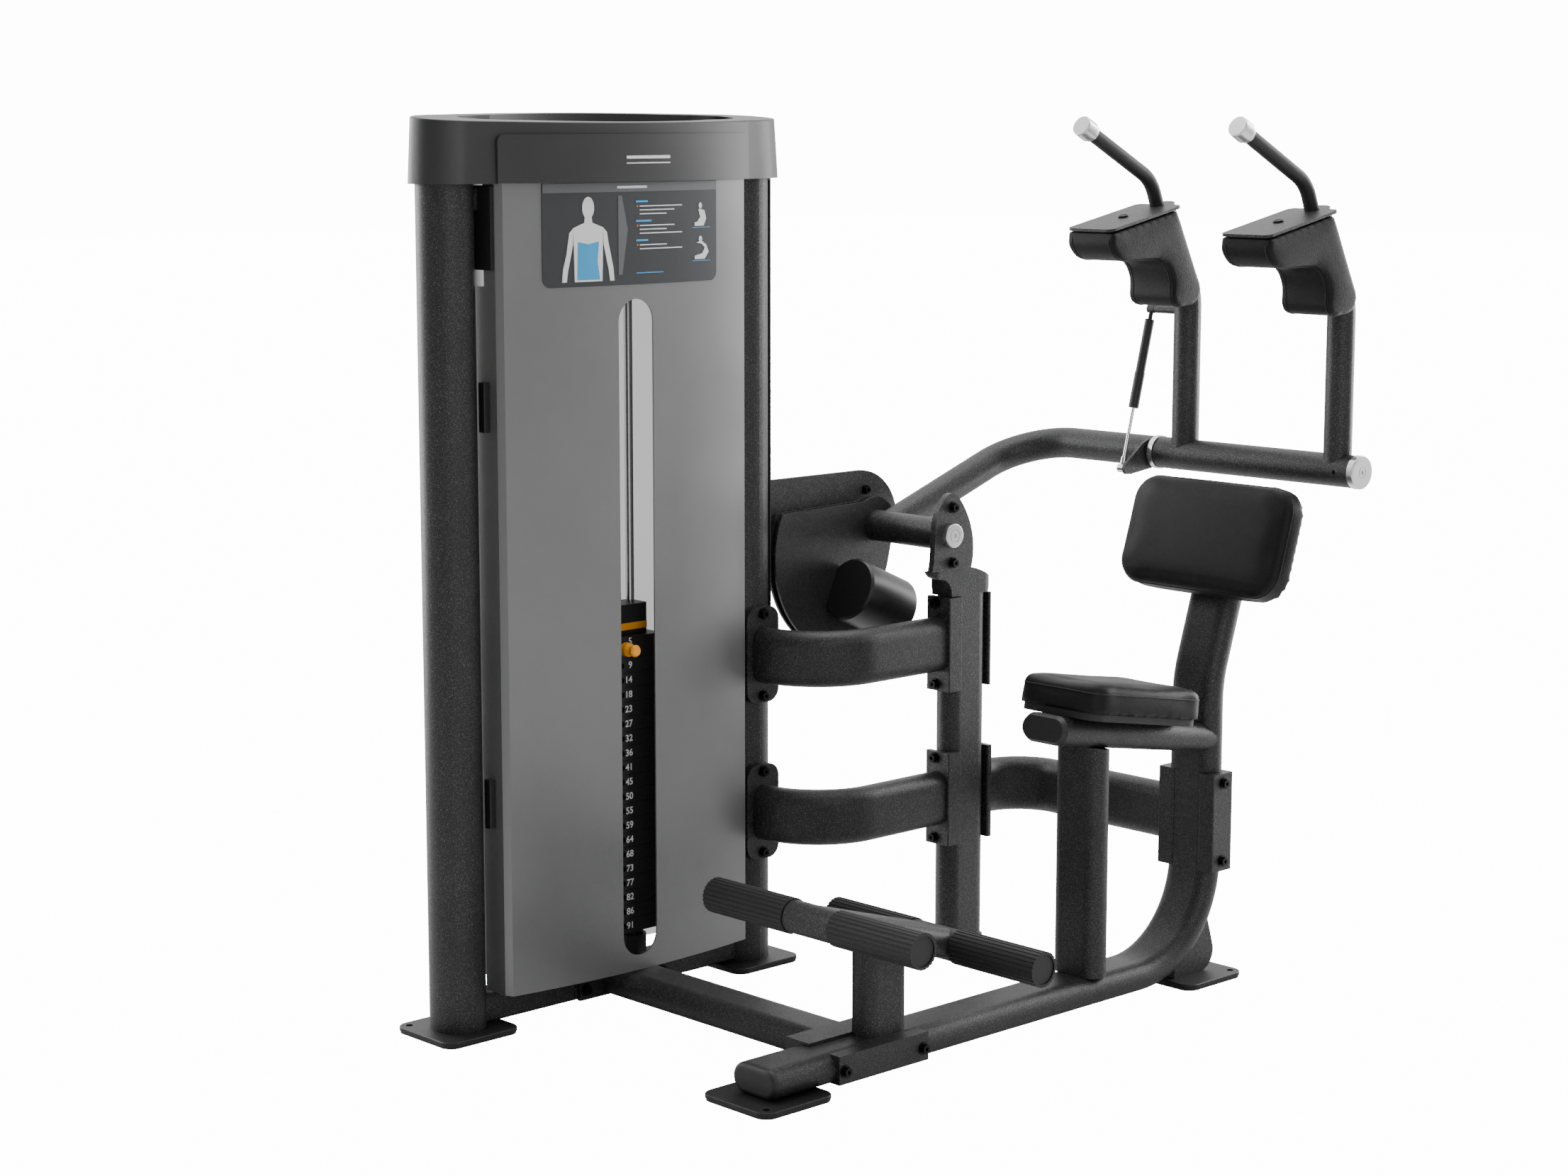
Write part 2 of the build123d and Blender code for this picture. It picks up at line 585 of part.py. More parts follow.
# ---------------------------------------------------------------- column
with BuildPart() as column:
    # formed head: stands under the bearing plate and flares to the back
    profile_x(COLUMN_X - COLUMN_T / 2, COLUMN_X + COLUMN_T / 2,
              (583, 708.1), (684, 708.1), ((722, 696.5), (750, 680)), (749, 672),
              ((740.5, 665), (736.7, 657.5)), (638.9, 657.5),
              ((633, 680), (613, 692)), ((595, 696), (583, 708.1)))
    oval_z(COLUMN_X, 666.5, 600, 760, 90, width=170, mode=Mode.INTERSECT)
    block(COLUMN_X - 30, COLUMN_X + 9, 570, 637.5, 640, 715, mode=Mode.SUBTRACT)
    oval_z(COLUMN_X, COLUMN_Y, 16, 660, 90, COLUMN_W, COLUMN_T, WALL)
save(column, "column")

tilt = math.radians(SEAT_TILT)
tilt_cos, tilt_sin = math.cos(tilt), math.sin(tilt)
with BuildPart() as end_caps:
    # foot of the column
    oval_z(COLUMN_X, COLUMN_Y, 0, 15.9, 90, COLUMN_W + 8, COLUMN_T + 8)
    # domed front cap of the floor rail
    extrude(oval(cross_plane(SEAT_X, RAIL_Y0 - 0.1, RAIL_Z, FRONT)), amount=12)
    fillet(end_caps.faces().filter_by(Axis.Y).sort_by(Axis.Y)[0].edges(), 9)
    # tapered front cap of the seat frame
    seat_front = cross_plane(SEAT_X, SEAT_Y0 - 0.1, SEAT_Z0 + 0.1, (0, -tilt_cos, tilt_sin))
    extrude(oval(seat_front), amount=9, taper=30)
save(end_caps, "end_caps")


# ---------------------------------------------------------------- braces
def brace(plane, start, bend_start, bend_end, end, radius):
    """Upright flat-oval tube with one bend."""
    with BuildLine(mode=Mode.PRIVATE) as line:
        Line(at(*start), at(*bend_start))
        RadiusArc(at(*bend_start), at(*bend_end), radius)
        Line(at(*bend_end), at(*end))
    sweep(oval(plane, wall=WALL, rotation=90), path=line.wires()[0])


BRACE_BEND_X = 62                    # start of the front braces' bend
FRONT_BEND_R = COLUMN_X - BRACE_BEND_X
with BuildPart() as braces_front:
    for z in BRACE_Z:
        start = (56.1, POST_Y, z)
        brace(x_plane(*start), start, (BRACE_BEND_X, POST_Y, z),
              (COLUMN_X, POST_Y + FRONT_BEND_R, z), (COLUMN_X, 627.9, z), -FRONT_BEND_R)
save(braces_front, "braces_front")

REAR_BEND_R = 90
with BuildPart() as brace_rear:
    start = (COLUMN_X, 748.1, REAR_BRACE_Z)
    brace(cross_plane(*start, BACK), start,
          (COLUMN_X, UPRIGHT_Y - REAR_BEND_R, REAR_BRACE_Z),
          (COLUMN_X + REAR_BEND_R, UPRIGHT_Y, REAR_BRACE_Z),
          (551.9, UPRIGHT_Y, REAR_BRACE_Z), REAR_BEND_R)
save(brace_rear, "brace_rear")

FLANGE_H = 172
FLANGE_HALF = FLANGE_H / 2
COLUMN_FRONT = COLUMN_Y - COLUMN_W / 2 - FIT
COLUMN_BACK = COLUMN_Y + COLUMN_W / 2 + FIT
SNUG_W, SNUG_T = TUBE_W + 2 * FIT, TUBE_T + 2 * FIT   # clearance round the frame tube
with BuildPart() as brace_flanges:
    for z in BRACE_Z:
        with BuildSketch(x_plane(32, POST_Y, z)) as post_flange:
            RectangleRounded(76, FLANGE_H, 24)
        extrude(post_flange.sketch, amount=24)
        z0, z1 = z - FLANGE_HALF, z + FLANGE_HALF
        block(163, 217, 628, COLUMN_FRONT, z0, z1, 3)
        block(COLUMN_X + 14, COLUMN_X + 31, 628, 661, z0, z1, 2)
    cut_post(1, 100, 800)
    # behind the column
    block(165, 215, COLUMN_BACK, COLUMN_Y + 57,
          BRACE_Z[0] - FLANGE_HALF, BRACE_Z[0] + FLANGE_HALF, 3)
    block(163, 217, COLUMN_BACK, 748, BRACE_Z[1] - FLANGE_HALF, BRACE_Z[1] + FLANGE_HALF, 3)
    # either side of the back upright
    for x0, x1 in ((552, 586), (643, 676)):
        block(x0, x1, UPRIGHT_Y - 27, UPRIGHT_Y + 27, 199, 374, 3)
    oval_z(COLUMN_X, COLUMN_Y, 100, 700, 90, COLUMN_W + 2 * FIT, COLUMN_T + 2 * FIT,
           mode=Mode.SUBTRACT)
    oval_z(SEAT_X, UPRIGHT_Y, 150, 450, 0, SNUG_W, SNUG_T, mode=Mode.SUBTRACT)
    oval_z(SEAT_X, UPRIGHT_Y - 0.9, 150, 218, 0, SNUG_W, SNUG_T, mode=Mode.SUBTRACT)
save(brace_flanges, "brace_flanges")

# ---------------------------------------------------------------- floor rail and back upright
lean = math.radians(LEAN)
lean_sin, lean_cos = math.sin(lean), math.cos(lean)
with BuildPart() as main_frame:
    diagonal = math.sqrt(0.5) * BEND_R
    bend_y = UPRIGHT_Y - BEND_R
    tangent_len = LEAN_BEND_R * math.tan(lean / 2)
    lean_y = UPRIGHT_Y + tangent_len * lean_sin
    lean_z = LEAN_Z + tangent_len * lean_cos
    frame_path = path(
        (SEAT_X, RAIL_Y0, RAIL_Z),
        (SEAT_X, bend_y, RAIL_Z),
        ((SEAT_X, bend_y + diagonal, RAIL_Z + BEND_R - diagonal),
         (SEAT_X, UPRIGHT_Y, RAIL_Z + BEND_R)),
        (SEAT_X, UPRIGHT_Y, LEAN_Z - tangent_len),
        ((SEAT_X, UPRIGHT_Y + LEAN_BEND_R * (1 - math.cos(lean / 2)),
          LEAN_Z - tangent_len + LEAN_BEND_R * math.sin(lean / 2)),
         (SEAT_X, lean_y, lean_z)),
        (SEAT_X, lean_y + UPRIGHT_LEN * lean_sin, lean_z + UPRIGHT_LEN * lean_cos))
    sweep(oval(cross_plane(SEAT_X, RAIL_Y0, RAIL_Z, BACK), wall=WALL), path=frame_path)
    # rear leg under the bend, rounded at the heel and ending inside the tube
    leg_z = FRAME_Z + 0.02
    profile_x(SEAT_X - 25, SEAT_X + 25, (770, leg_z), (848, leg_z), ((868, 23), (876, 50)),
              (862, 94.6), (848, 138), (800, 92.5), (770, 67))
save(main_frame, "main_frame")

# ---------------------------------------------------------------- cross tube to the tower
CROSS_X0, CROSS_X1 = 33.05, 547.9
with BuildPart() as cross_tube:
    extrude(oval(x_plane(CROSS_X0, CROSS_Y, RAIL_Z), wall=WALL), amount=CROSS_X1 - CROSS_X0)
save(cross_tube, "cross_tube")

with BuildPart() as cross_saddles:
    for x0, x1, z0, z1 in ((25.05, 33, 12, 61), (548, 602, 12, 66), (640, 671, 13, 60)):
        block(x0, x1, CROSS_Y - 100, CROSS_Y + 100, z0, z1)
    extrude(oval(cross_plane(SEAT_X, CROSS_Y - 150, RAIL_Z, BACK), SNUG_W, SNUG_T),
            amount=300, mode=Mode.SUBTRACT)
    oval_z(SEAT_X, FOOT_POST_Y, 50, 80, 90, 98.4, 50.4, mode=Mode.SUBTRACT)
save(cross_saddles, "cross_saddles")

# ---------------------------------------------------------------- seat and back rest
POST_FOOT_Z = RAIL_Z + TUBE_T / 2 + FIT   # posts standing on the floor rail

with BuildPart() as seat_frame:
    tube_plane = cross_plane(SEAT_X, SEAT_Y0, SEAT_Z0, (0, tilt_cos, -tilt_sin))
    extrude(oval(tube_plane, wall=WALL), amount=400)
    # end fitted to the back upright
    oval_z(SEAT_X, UPRIGHT_Y, 380, 500, 0, SNUG_W, SNUG_T, mode=Mode.SUBTRACT)
    block(SEAT_X - 60, SEAT_X + 60, UPRIGHT_Y, UPRIGHT_Y + 60, 380, 500, mode=Mode.SUBTRACT)
save(seat_frame, "seat_frame")


def seat_plane(offset):
    """Plane of the tilted seat, offset up from the seat tube's centre; local y runs back."""
    return cross_plane(SEAT_X, SEAT_Y0 + offset * tilt_sin, SEAT_Z0 + offset * tilt_cos,
                       (0, tilt_sin, tilt_cos))


def back_plane(offset):
    """Plane facing the sitter, offset forwards from the leaning upright's centre."""
    z = 768.0
    y = UPRIGHT_Y + (z - LEAN_Z) * math.tan(lean)
    return cross_plane(SEAT_X, y - lean_cos * offset, z + lean_sin * offset,
                       (0, -lean_cos, lean_sin))


def seat_panel(offset, front_half, back_half, front, back, corner, thickness):
    """Slab on the seat, wider at the back."""
    with BuildSketch(seat_plane(offset)) as panel:
        outline((-front_half, front), (front_half, front), (back_half, back), (-back_half, back))
        fillet(panel.vertices(), corner)
    extrude(panel.sketch, amount=thickness)


def back_panel(offset, width, height, corner, thickness):
    with BuildSketch(back_plane(offset)) as panel:
        RectangleRounded(width, height, corner)
    extrude(panel.sketch, amount=thickness)


with BuildPart() as seat_post:
    oval_z(SEAT_X, SEAT_POST_Y, POST_FOOT_Z, 520, wall=WALL)
    # top cut to the underside of the seat tube
    with BuildSketch(seat_plane(-25.05)) as under_seat:
        with Locations((0, 100)):
            Rectangle(200, 400)
    extrude(under_seat.sketch, amount=200, mode=Mode.SUBTRACT)
save(seat_post, "seat_post")

with BuildPart() as pad_boards:
    seat_panel(25.05, 84, 96, 16, 290, corner=30, thickness=12)
    back_panel(25.1, 330, 180, corner=45, thickness=10)
save(pad_boards, "pad_boards")

with BuildPart() as seat_pad:
    seat_panel(37.1, 92, 106, 8, 298, corner=38, thickness=50)
    fillet(seat_pad.faces().sort_by(SortBy.AREA)[-2:].sort_by(Axis.Z)[-1].edges(), 14)
save(seat_pad, "seat_pad")

with BuildPart() as back_pad:
    back_panel(35.15, 358, 206, corner=52, thickness=46)
    fillet(back_pad.faces().sort_by(SortBy.AREA)[-2:].sort_by(Axis.Y)[0].edges(), 14)
save(back_pad, "back_pad")

# ---------------------------------------------------------------- foot hold-down
with BuildPart() as foot_link:
    link_y, link_z = REAR_BAR[0] - FRONT_BAR[0], REAR_BAR[1] - FRONT_BAR[1]
    link_len = math.hypot(link_y, link_z)
    link_plane = cross_plane(SEAT_X, *FRONT_BAR, (0, link_y / link_len, link_z / link_len))
    extrude(oval(link_plane), amount=link_len)
    bar_half = ROLLER_IN + ROLLER_L - 6
    for y, z in (FRONT_BAR, REAR_BAR):
        rod_x(SEAT_X - 50.5, SEAT_X + 50.5, y, z, 26.5)
        rod_x(SEAT_X - bar_half, SEAT_X + bar_half, y, z, BAR_R)
    oval_z(SEAT_X, FOOT_POST_Y, POST_FOOT_Z, 220, 90, width=98)
save(foot_link, "foot_link")


def roller(y, z, side):
    """Fluted foam roller on the given x side of the seat mid-plane."""
    x0 = SEAT_X + ROLLER_IN if side > 0 else SEAT_X - ROLLER_IN - ROLLER_L
    with BuildSketch(x_plane(x0, y, z)) as section:
        Circle(ROLLER_R)
        with PolarLocations(ROLLER_R + 0.3, 24):
            Circle(1.6, mode=Mode.SUBTRACT)
        Circle(BAR_R + RUN, mode=Mode.SUBTRACT)
    extrude(section.sketch, amount=ROLLER_L)
    # closed outer end with an inset disc
    outer = x0 + ROLLER_L if side > 0 else x0
    rod_x(outer - side * 4, outer, y, z, 24, mode=Mode.SUBTRACT)
    rod_x(outer - side * 5.8, outer - side * 2, y, z, 23.9)


for place, bar in (("front", FRONT_BAR), ("rear", REAR_BAR)):
    for letter, side in (("l", -1), ("r", 1)):
        with BuildPart() as roller_part:
            roller(*bar, side)
        save(roller_part, f"roller_{place}_{letter}")

# ---------------------------------------------------------------- lever arm
ARM_END_X = 380
with BuildPart() as arm_tube:
    rod_x(27.1, 196, PIVOT_Y, PIVOT_Z, ARM_R)
    arm_len = math.hypot(SLEEVE_Y - PIVOT_Y, SLEEVE_Z - PIVOT_Z)
    arm_y, arm_z = (SLEEVE_Y - PIVOT_Y) / arm_len, (SLEEVE_Z - PIVOT_Z) / arm_len
    inset = ARM_BEND_R * (1 - math.sqrt(0.5))   # bend middle from the corner, both ways
    arm_path = path(
        (ARM_X, PIVOT_Y, PIVOT_Z),
        (ARM_X, SLEEVE_Y - arm_y * ARM_BEND_R, SLEEVE_Z - arm_z * ARM_BEND_R),
        ((ARM_X + inset, SLEEVE_Y - arm_y * inset, SLEEVE_Z - arm_z * inset),
         (ARM_X + ARM_BEND_R, SLEEVE_Y, SLEEVE_Z)),
        (ARM_END_X, SLEEVE_Y, SLEEVE_Z))
    with BuildSketch(cross_plane(ARM_X, PIVOT_Y, PIVOT_Z, (0, arm_y, arm_z))) as arm_section:
        Circle(ARM_R)
    sweep(arm_section.sketch, path=arm_path)
    # strut bracket
    profile_x(368.3, 375, (1000, 934), (1012, 878.5), (940, 870), (927, 871), (922, 881),
              (926, 890), (975, 925))
    rod_x(20, 200, PIVOT_Y, PIVOT_Z, SHAFT_R + RUN, mode=Mode.SUBTRACT)
save(arm_tube, "arm_tube")

CAM_GROOVE = (10, 22)                # x limits between the two side plates
with BuildPart() as cam:
    for x0, x1 in ((5, CAM_GROOVE[0]), (CAM_GROOVE[1], 27)):
        profile_x(x0, x1, (397, 811), (604, 816), ((662, 812), (681, 770)),
                  (662, 692), (600, 543), ((430, 602), (397, 811)))
    # groove floor, concentric with the pivot
    groove_r = CAM_R - BELT_SEAT
    arc_strip(*CAM_GROOVE, PIVOT_Y, PIVOT_Z, groove_r, groove_r - 14, 172, 256)
    rod_x(*CAM_GROOVE, PIVOT_Y, PIVOT_Z, ARM_R, SHAFT_R + RUN)
    rod_x(0, 30, PIVOT_Y, PIVOT_Z, SHAFT_R + RUN, mode=Mode.SUBTRACT)
save(cam, "cam")

WEIGHT_X, WEIGHT_Y, WEIGHT_Z, WEIGHT_LEN = 70, 520, 669, 128
WEIGHT_DROP = math.radians(24)       # slope of its axis, falling to the back
with BuildPart() as counterweight:
    rod((WEIGHT_X, WEIGHT_Y, WEIGHT_Z),
        (WEIGHT_X, WEIGHT_Y + WEIGHT_LEN * math.cos(WEIGHT_DROP),
         WEIGHT_Z - WEIGHT_LEN * math.sin(WEIGHT_DROP)), 58.5)
    chamfer(counterweight.edges().filter_by(GeomType.CIRCLE), 4)
    # flat against the cam
    block(-60, 27.1, 400, 800, 500, 800, mode=Mode.SUBTRACT)
save(counterweight, "counterweight")

with BuildPart() as arm_shaft:
    rod_x(ARM_END_X + FIT, 825, SLEEVE_Y, SLEEVE_Z, ARM_SHAFT_R)
save(arm_shaft, "arm_shaft")

# collar at the arm end and cap at the +x end of the sleeve
with BuildPart() as sleeve_trim:
    rod_x(ARM_END_X + 0.1, 390.8, SLEEVE_Y, SLEEVE_Z, 30.5, ARM_SHAFT_R)
    rod_x(SLEEVE_X1 - 13, SLEEVE_X1, SLEEVE_Y, SLEEVE_Z, 29.5)
    fillet(sleeve_trim.edges().group_by(Axis.X)[-1], 2.5)
    cut_cap_face(SLEEVE_X1, SLEEVE_Y, SLEEVE_Z, groove_r=10)
save(sleeve_trim, "sleeve_trim")

# ---------------------------------------------------------------- shoulder frame
# underside of the plate over each shoulder pad, (y, z) at its front and back
PLATE_FRONT, PLATE_BACK = (735.0, 1316.3), (928.0, 1355.6)
SHOULDERS = (SEAT_X - SHOULDER_X, SEAT_X + SHOULDER_X)


def shoulder_upright(x, radius, mode=Mode.ADD):
    """Round bar up from the sleeve, leaning forward at the top."""
    tangent_len = SHOULDER_BEND_R * math.tan(SHOULDER_LEAN / 2)
    lean_sin, lean_cos = math.sin(SHOULDER_LEAN), math.cos(SHOULDER_LEAN)
    bend_z = SHOULDER_BEND_Z - tangent_len
    upright = path(
        (x, SLEEVE_Y, SLEEVE_Z),
        (x, SLEEVE_Y, bend_z),
        ((x, SLEEVE_Y - SHOULDER_BEND_R * (1 - math.cos(SHOULDER_LEAN / 2)),
          bend_z + SHOULDER_BEND_R * math.sin(SHOULDER_LEAN / 2)),
         (x, SLEEVE_Y - tangent_len * lean_sin, SHOULDER_BEND_Z + tangent_len * lean_cos)),
        (x, SLEEVE_Y - SHOULDER_TOP_LEN * lean_sin,
         SHOULDER_BEND_Z + SHOULDER_TOP_LEN * lean_cos))
    with BuildSketch(cross_plane(x, SLEEVE_Y, SLEEVE_Z)) as section:
        Circle(radius)
    sweep(section.sketch, path=upright, mode=mode)


def pad_plate_plane(x):
    """Underside of the pad plate; local y runs back along it."""
    normal = Vector(0, PLATE_FRONT[1] - PLATE_BACK[1], PLATE_BACK[0] - PLATE_FRONT[0])
    return cross_plane(x, *PLATE_FRONT, normal.normalized())


with BuildPart() as shoulder_frame:
    rod_x(SLEEVE_X0 + 0.2, SLEEVE_X1 - 13.2, SLEEVE_Y, SLEEVE_Z, ARM_R)
    for x in SHOULDERS:
        shoulder_upright(x, SHOULDER_R)
        # plate over the shoulder pad
        with BuildSketch(pad_plate_plane(x)) as pad_plate:
            with Locations((0, 97)):
                RectangleRounded(104, 194, 12)
            with Locations((0, 196)):
                Circle(25)
        extrude(pad_plate.sketch, amount=5)
    rod_x(SLEEVE_X0 - 5, SLEEVE_X1 + 5, SLEEVE_Y, SLEEVE_Z, ARM_SHAFT_R + RUN,
          mode=Mode.SUBTRACT)
    # stub for the strut
    rod_x(SHOULDERS[0] - 10, 370, SLEEVE_Y, STRUT_TOP_Z, 7)
    # small hole in the front of the sleeve
    hole_x = SLEEVE_X1 - 40
    rod((hole_x, SLEEVE_Y - 40, SLEEVE_Z), (hole_x, SLEEVE_Y - 24, SLEEVE_Z), 3.5,
        mode=Mode.SUBTRACT)
save(shoulder_frame, "shoulder_frame")


def shoulder_pad(x):
    """Hooked cushion: upper arm over the shoulder, lower arm down the back."""
    profile_x(x - 53, x + 53, (738, 1316.0), (913, 1351.6), (981, 1220),
              ((978, 1193), (957, 1182)), (930, 1179),
              ((911, 1187), (906, 1207)), ((896, 1243), (862, 1265)), (780, 1266),
              ((750, 1277), (736, 1299)))
    shoulder_upright(x, SHOULDER_R + 0.8, mode=Mode.SUBTRACT)


for letter, x in zip("lr", SHOULDERS):
    with BuildPart() as pad_part:
        shoulder_pad(x)
    save(pad_part, "shoulder_pad_" + letter)

# ---------------------------------------------------------------- handles
# vectors in the y-z plane: foot, corner and free end of the bar
HANDLE_FOOT, HANDLE_CORNER, HANDLE_END = (
    Vector(0, 922.0, 1343.0), Vector(0, 898.0, 1403.0), Vector(0, 738.5, 1484.5))
HANDLE_SETBACK = 26.0                # bend start and end from the corner
rise_dir = (HANDLE_CORNER - HANDLE_FOOT).normalized()
grip_dir = (HANDLE_END - HANDLE_CORNER).normalized()


def handle_point(x, point):
    return (x, point.Y, point.Z)


with BuildPart() as handles:
    for x in SHOULDERS:
        foot = at(*handle_point(x, HANDLE_FOOT))
        bend_start = at(*handle_point(x, HANDLE_CORNER - rise_dir * HANDLE_SETBACK))
        bend_end = at(*handle_point(x, HANDLE_CORNER + grip_dir * HANDLE_SETBACK))
        with BuildLine(mode=Mode.PRIVATE) as handle_line:
            Line(foot, bend_start)
            TangentArc(bend_start, bend_end, tangent=rise_dir)
            Line(bend_end, at(*handle_point(x, HANDLE_END)))
        with BuildSketch(Plane(origin=foot, x_dir=(1, 0, 0), z_dir=rise_dir)) as bar_section:
            Circle(12.7)
        sweep(bar_section.sketch, path=handle_line.wires()[0])
        # foot cut flush with the pad plate
        with BuildSketch(pad_plate_plane(x)) as foot_cut:
            with Locations((0, 110)):
                Rectangle(120, 300)
        extrude(foot_cut.sketch, amount=5.1, mode=Mode.SUBTRACT)
        extrude(foot_cut.sketch, amount=-40, mode=Mode.SUBTRACT)
save(handles, "handles")

CAP_R = 18.5
with BuildPart() as handle_caps:
    for x in SHOULDERS:
        near, step, far = (handle_point(x, HANDLE_END + grip_dir * d) for d in (0.1, 6, 32))
        rod(near, step, 15.5)
        rod(step, far, CAP_R)
    circles = handle_caps.edges().filter_by(GeomType.CIRCLE)
    fillet(circles.filter_by(lambda e: abs(e.radius - CAP_R) < 0.01), 2)
save(handle_caps, "handle_caps")

# ---------------------------------------------------------------- gas spring
strut_top = Vector(STRUT_X, SLEEVE_Y, STRUT_TOP_Z)
strut_foot = Vector(STRUT_X, 932.0, 880.5)
strut_dir = (strut_foot - strut_top).normalized()
STRUT_ROD_R = 3.3


def strut_piece(start, end, radius, mode=Mode.ADD):
    """Cylinder on the strut axis between two distances from its top."""
    p, q = strut_top + strut_dir * start, strut_top + strut_dir * end
    rod((p.X, p.Y, p.Z), (q.X, q.Y, q.Z), radius, mode=mode)


with BuildPart() as strut_cylinder:
    rod_x(STRUT_X - 7, 369.7, strut_top.Y, strut_top.Z, 7.5)
    strut_piece(5, 24, 4)
    strut_piece(20, 118, 8.6)
    strut_piece(117.9, 184, 9.4)
    strut_piece(46, 190, STRUT_ROD_R + RUN, mode=Mode.SUBTRACT)
save(strut_cylinder, "strut_cylinder")

with BuildPart() as strut_rod:
    strut_piece(112, 290, STRUT_ROD_R)
    strut_piece(276, 291, 5.5)
    rod_x(STRUT_X - 6.5, 368.0, strut_foot.Y, strut_foot.Z, 8)
save(strut_rod, "strut_rod")


# ---------------------------------------------------------------- bolts
def bolt(seat, axis, hex_r=8.0, head=7.0, washer_r=10.5):
    """Washer and drilled hexagon head standing on a face at seat, along axis."""
    washer = 2
    under_head = tuple(a + b * washer for a, b in zip(seat, axis))
    rod(seat, under_head, washer_r)
    with BuildSketch(Plane(origin=at(*under_head), z_dir=Vector(*axis))) as hexagon:
        RegularPolygon(hex_r, 6)
        Circle(3.2, mode=Mode.SUBTRACT)
    extrude(hexagon.sketch, amount=head)


RIGHT = (1, 0, 0)
FLANGE_BOLT = 74                     # bolts above and below a brace's centre
with BuildPart() as frame_bolts:
    for z in BRACE_Z:
        for dz in (-FLANGE_BOLT, FLANGE_BOLT):
            bolt((56 + FIT, POST_Y, z + dz), RIGHT)
            bolt((186, 628 - FIT, z + dz), FRONT)
    for dz in (-FLANGE_BOLT, FLANGE_BOLT):
        bolt((COLUMN_X, COLUMN_Y + 57 + FIT, BRACE_Z[0] + dz), BACK)
        bolt((COLUMN_X + 5, 748 + FIT, BRACE_Z[1] + dz), BACK)
    for z in (217, 357):
        bolt((676 + FIT, UPRIGHT_Y, z), RIGHT)
    for y in (CROSS_Y - 87.5, CROSS_Y + 87.5):
        bolt((671 + FIT, y, 34), RIGHT)
        bolt((33 + FIT, y, 30), RIGHT)
    for z in (PIVOT_Z - 50, PIVOT_Z + 50):
        bolt((220 + FIT, PIVOT_Y + 4, z), RIGHT)
    bolt((-8 + FIT, 640, 833), RIGHT, hex_r=7, head=6, washer_r=9)
save(frame_bolts, "frame_bolts")
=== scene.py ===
import math

import bmesh
import bpy
from mathutils import Matrix, Vector


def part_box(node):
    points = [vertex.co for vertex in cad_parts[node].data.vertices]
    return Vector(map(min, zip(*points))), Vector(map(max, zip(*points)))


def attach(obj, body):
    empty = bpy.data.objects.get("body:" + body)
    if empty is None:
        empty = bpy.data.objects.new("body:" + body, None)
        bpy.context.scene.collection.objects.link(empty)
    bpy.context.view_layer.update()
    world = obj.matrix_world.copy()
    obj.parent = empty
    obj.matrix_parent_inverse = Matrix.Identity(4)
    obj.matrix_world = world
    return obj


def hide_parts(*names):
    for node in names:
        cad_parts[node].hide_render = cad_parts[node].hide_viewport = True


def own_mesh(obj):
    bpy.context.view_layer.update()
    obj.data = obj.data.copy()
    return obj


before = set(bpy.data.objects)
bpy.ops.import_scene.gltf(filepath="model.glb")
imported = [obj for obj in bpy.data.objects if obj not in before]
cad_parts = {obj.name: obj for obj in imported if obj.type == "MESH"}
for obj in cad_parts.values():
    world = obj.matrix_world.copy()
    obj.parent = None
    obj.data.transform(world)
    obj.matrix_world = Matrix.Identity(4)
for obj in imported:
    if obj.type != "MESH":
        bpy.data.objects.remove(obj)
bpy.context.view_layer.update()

posts_low, posts_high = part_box("tower_posts")
TOWER_X = (posts_low.x + posts_high.x) / 2
TOWER_Y = (posts_low.y + posts_high.y) / 2


def design_point(x, y, z):
    """Design millimetres (tower centre at the origin) to row metres."""
    return Vector((x / 1000 + TOWER_X, y / 1000 + TOWER_Y, z / 1000))


# ------------------------------------------------------------------ shader helpers
def new_material(name):
    material = bpy.data.materials.new(name)
    material.use_nodes = True
    tree = material.node_tree
    return material, tree, tree.nodes["Principled BSDF"]


def add_node(tree, kind, **settings):
    """Each setting is an input's value if the node has such an input, else a property."""
    node = tree.nodes.new(kind)
    for key, value in settings.items():
        if key in node.inputs:
            node.inputs[key].default_value = value
        else:
            setattr(node, key, value)
    return node


def object_coords(tree):
    coords = add_node(tree, "ShaderNodeTexCoord")
    mapping = add_node(tree, "ShaderNodeMapping")
    tree.links.new(coords.outputs["Object"], mapping.inputs["Vector"])
    return mapping.outputs["Vector"]


def noise(tree, vector, **settings):
    node = add_node(tree, "ShaderNodeTexNoise", **settings)
    tree.links.new(vector, node.inputs["Vector"])
    return node.outputs["Fac"]


def voronoi(tree, vector, **settings):
    node = add_node(tree, "ShaderNodeTexVoronoi", **settings)
    tree.links.new(vector, node.inputs["Vector"])
    return node.outputs["Distance"]


def ramp(tree, factor, stops):
    """Colour ramp from (position, colour) stops."""
    node = tree.nodes.new("ShaderNodeValToRGB")
    elements = node.color_ramp.elements
    for element, (position, color) in zip(elements, (stops[0], stops[-1])):
        element.position = position
        element.color = (*color, 1)
    for position, color in stops[1:-1]:
        elements.new(position).color = (*color, 1)
    tree.links.new(factor, node.inputs["Fac"])
    return node.outputs["Color"]


def map_range(tree, value, to_min, to_max, **settings):
    limits = {"To Min": to_min, "To Max": to_max}
    node = add_node(tree, "ShaderNodeMapRange", **settings, **limits)
    tree.links.new(value, node.inputs["Value"])
    return node.outputs["Result"]


def math_node(tree, operation, first, second=None):
    """The second operand is a number, a socket, or None for one-operand functions."""
    node = add_node(tree, "ShaderNodeMath", operation=operation)
    tree.links.new(first, node.inputs[0])
    if isinstance(second, bpy.types.NodeSocket):
        tree.links.new(second, node.inputs[1])
    elif second is not None:
        node.inputs[1].default_value = second
    return node.outputs[0]


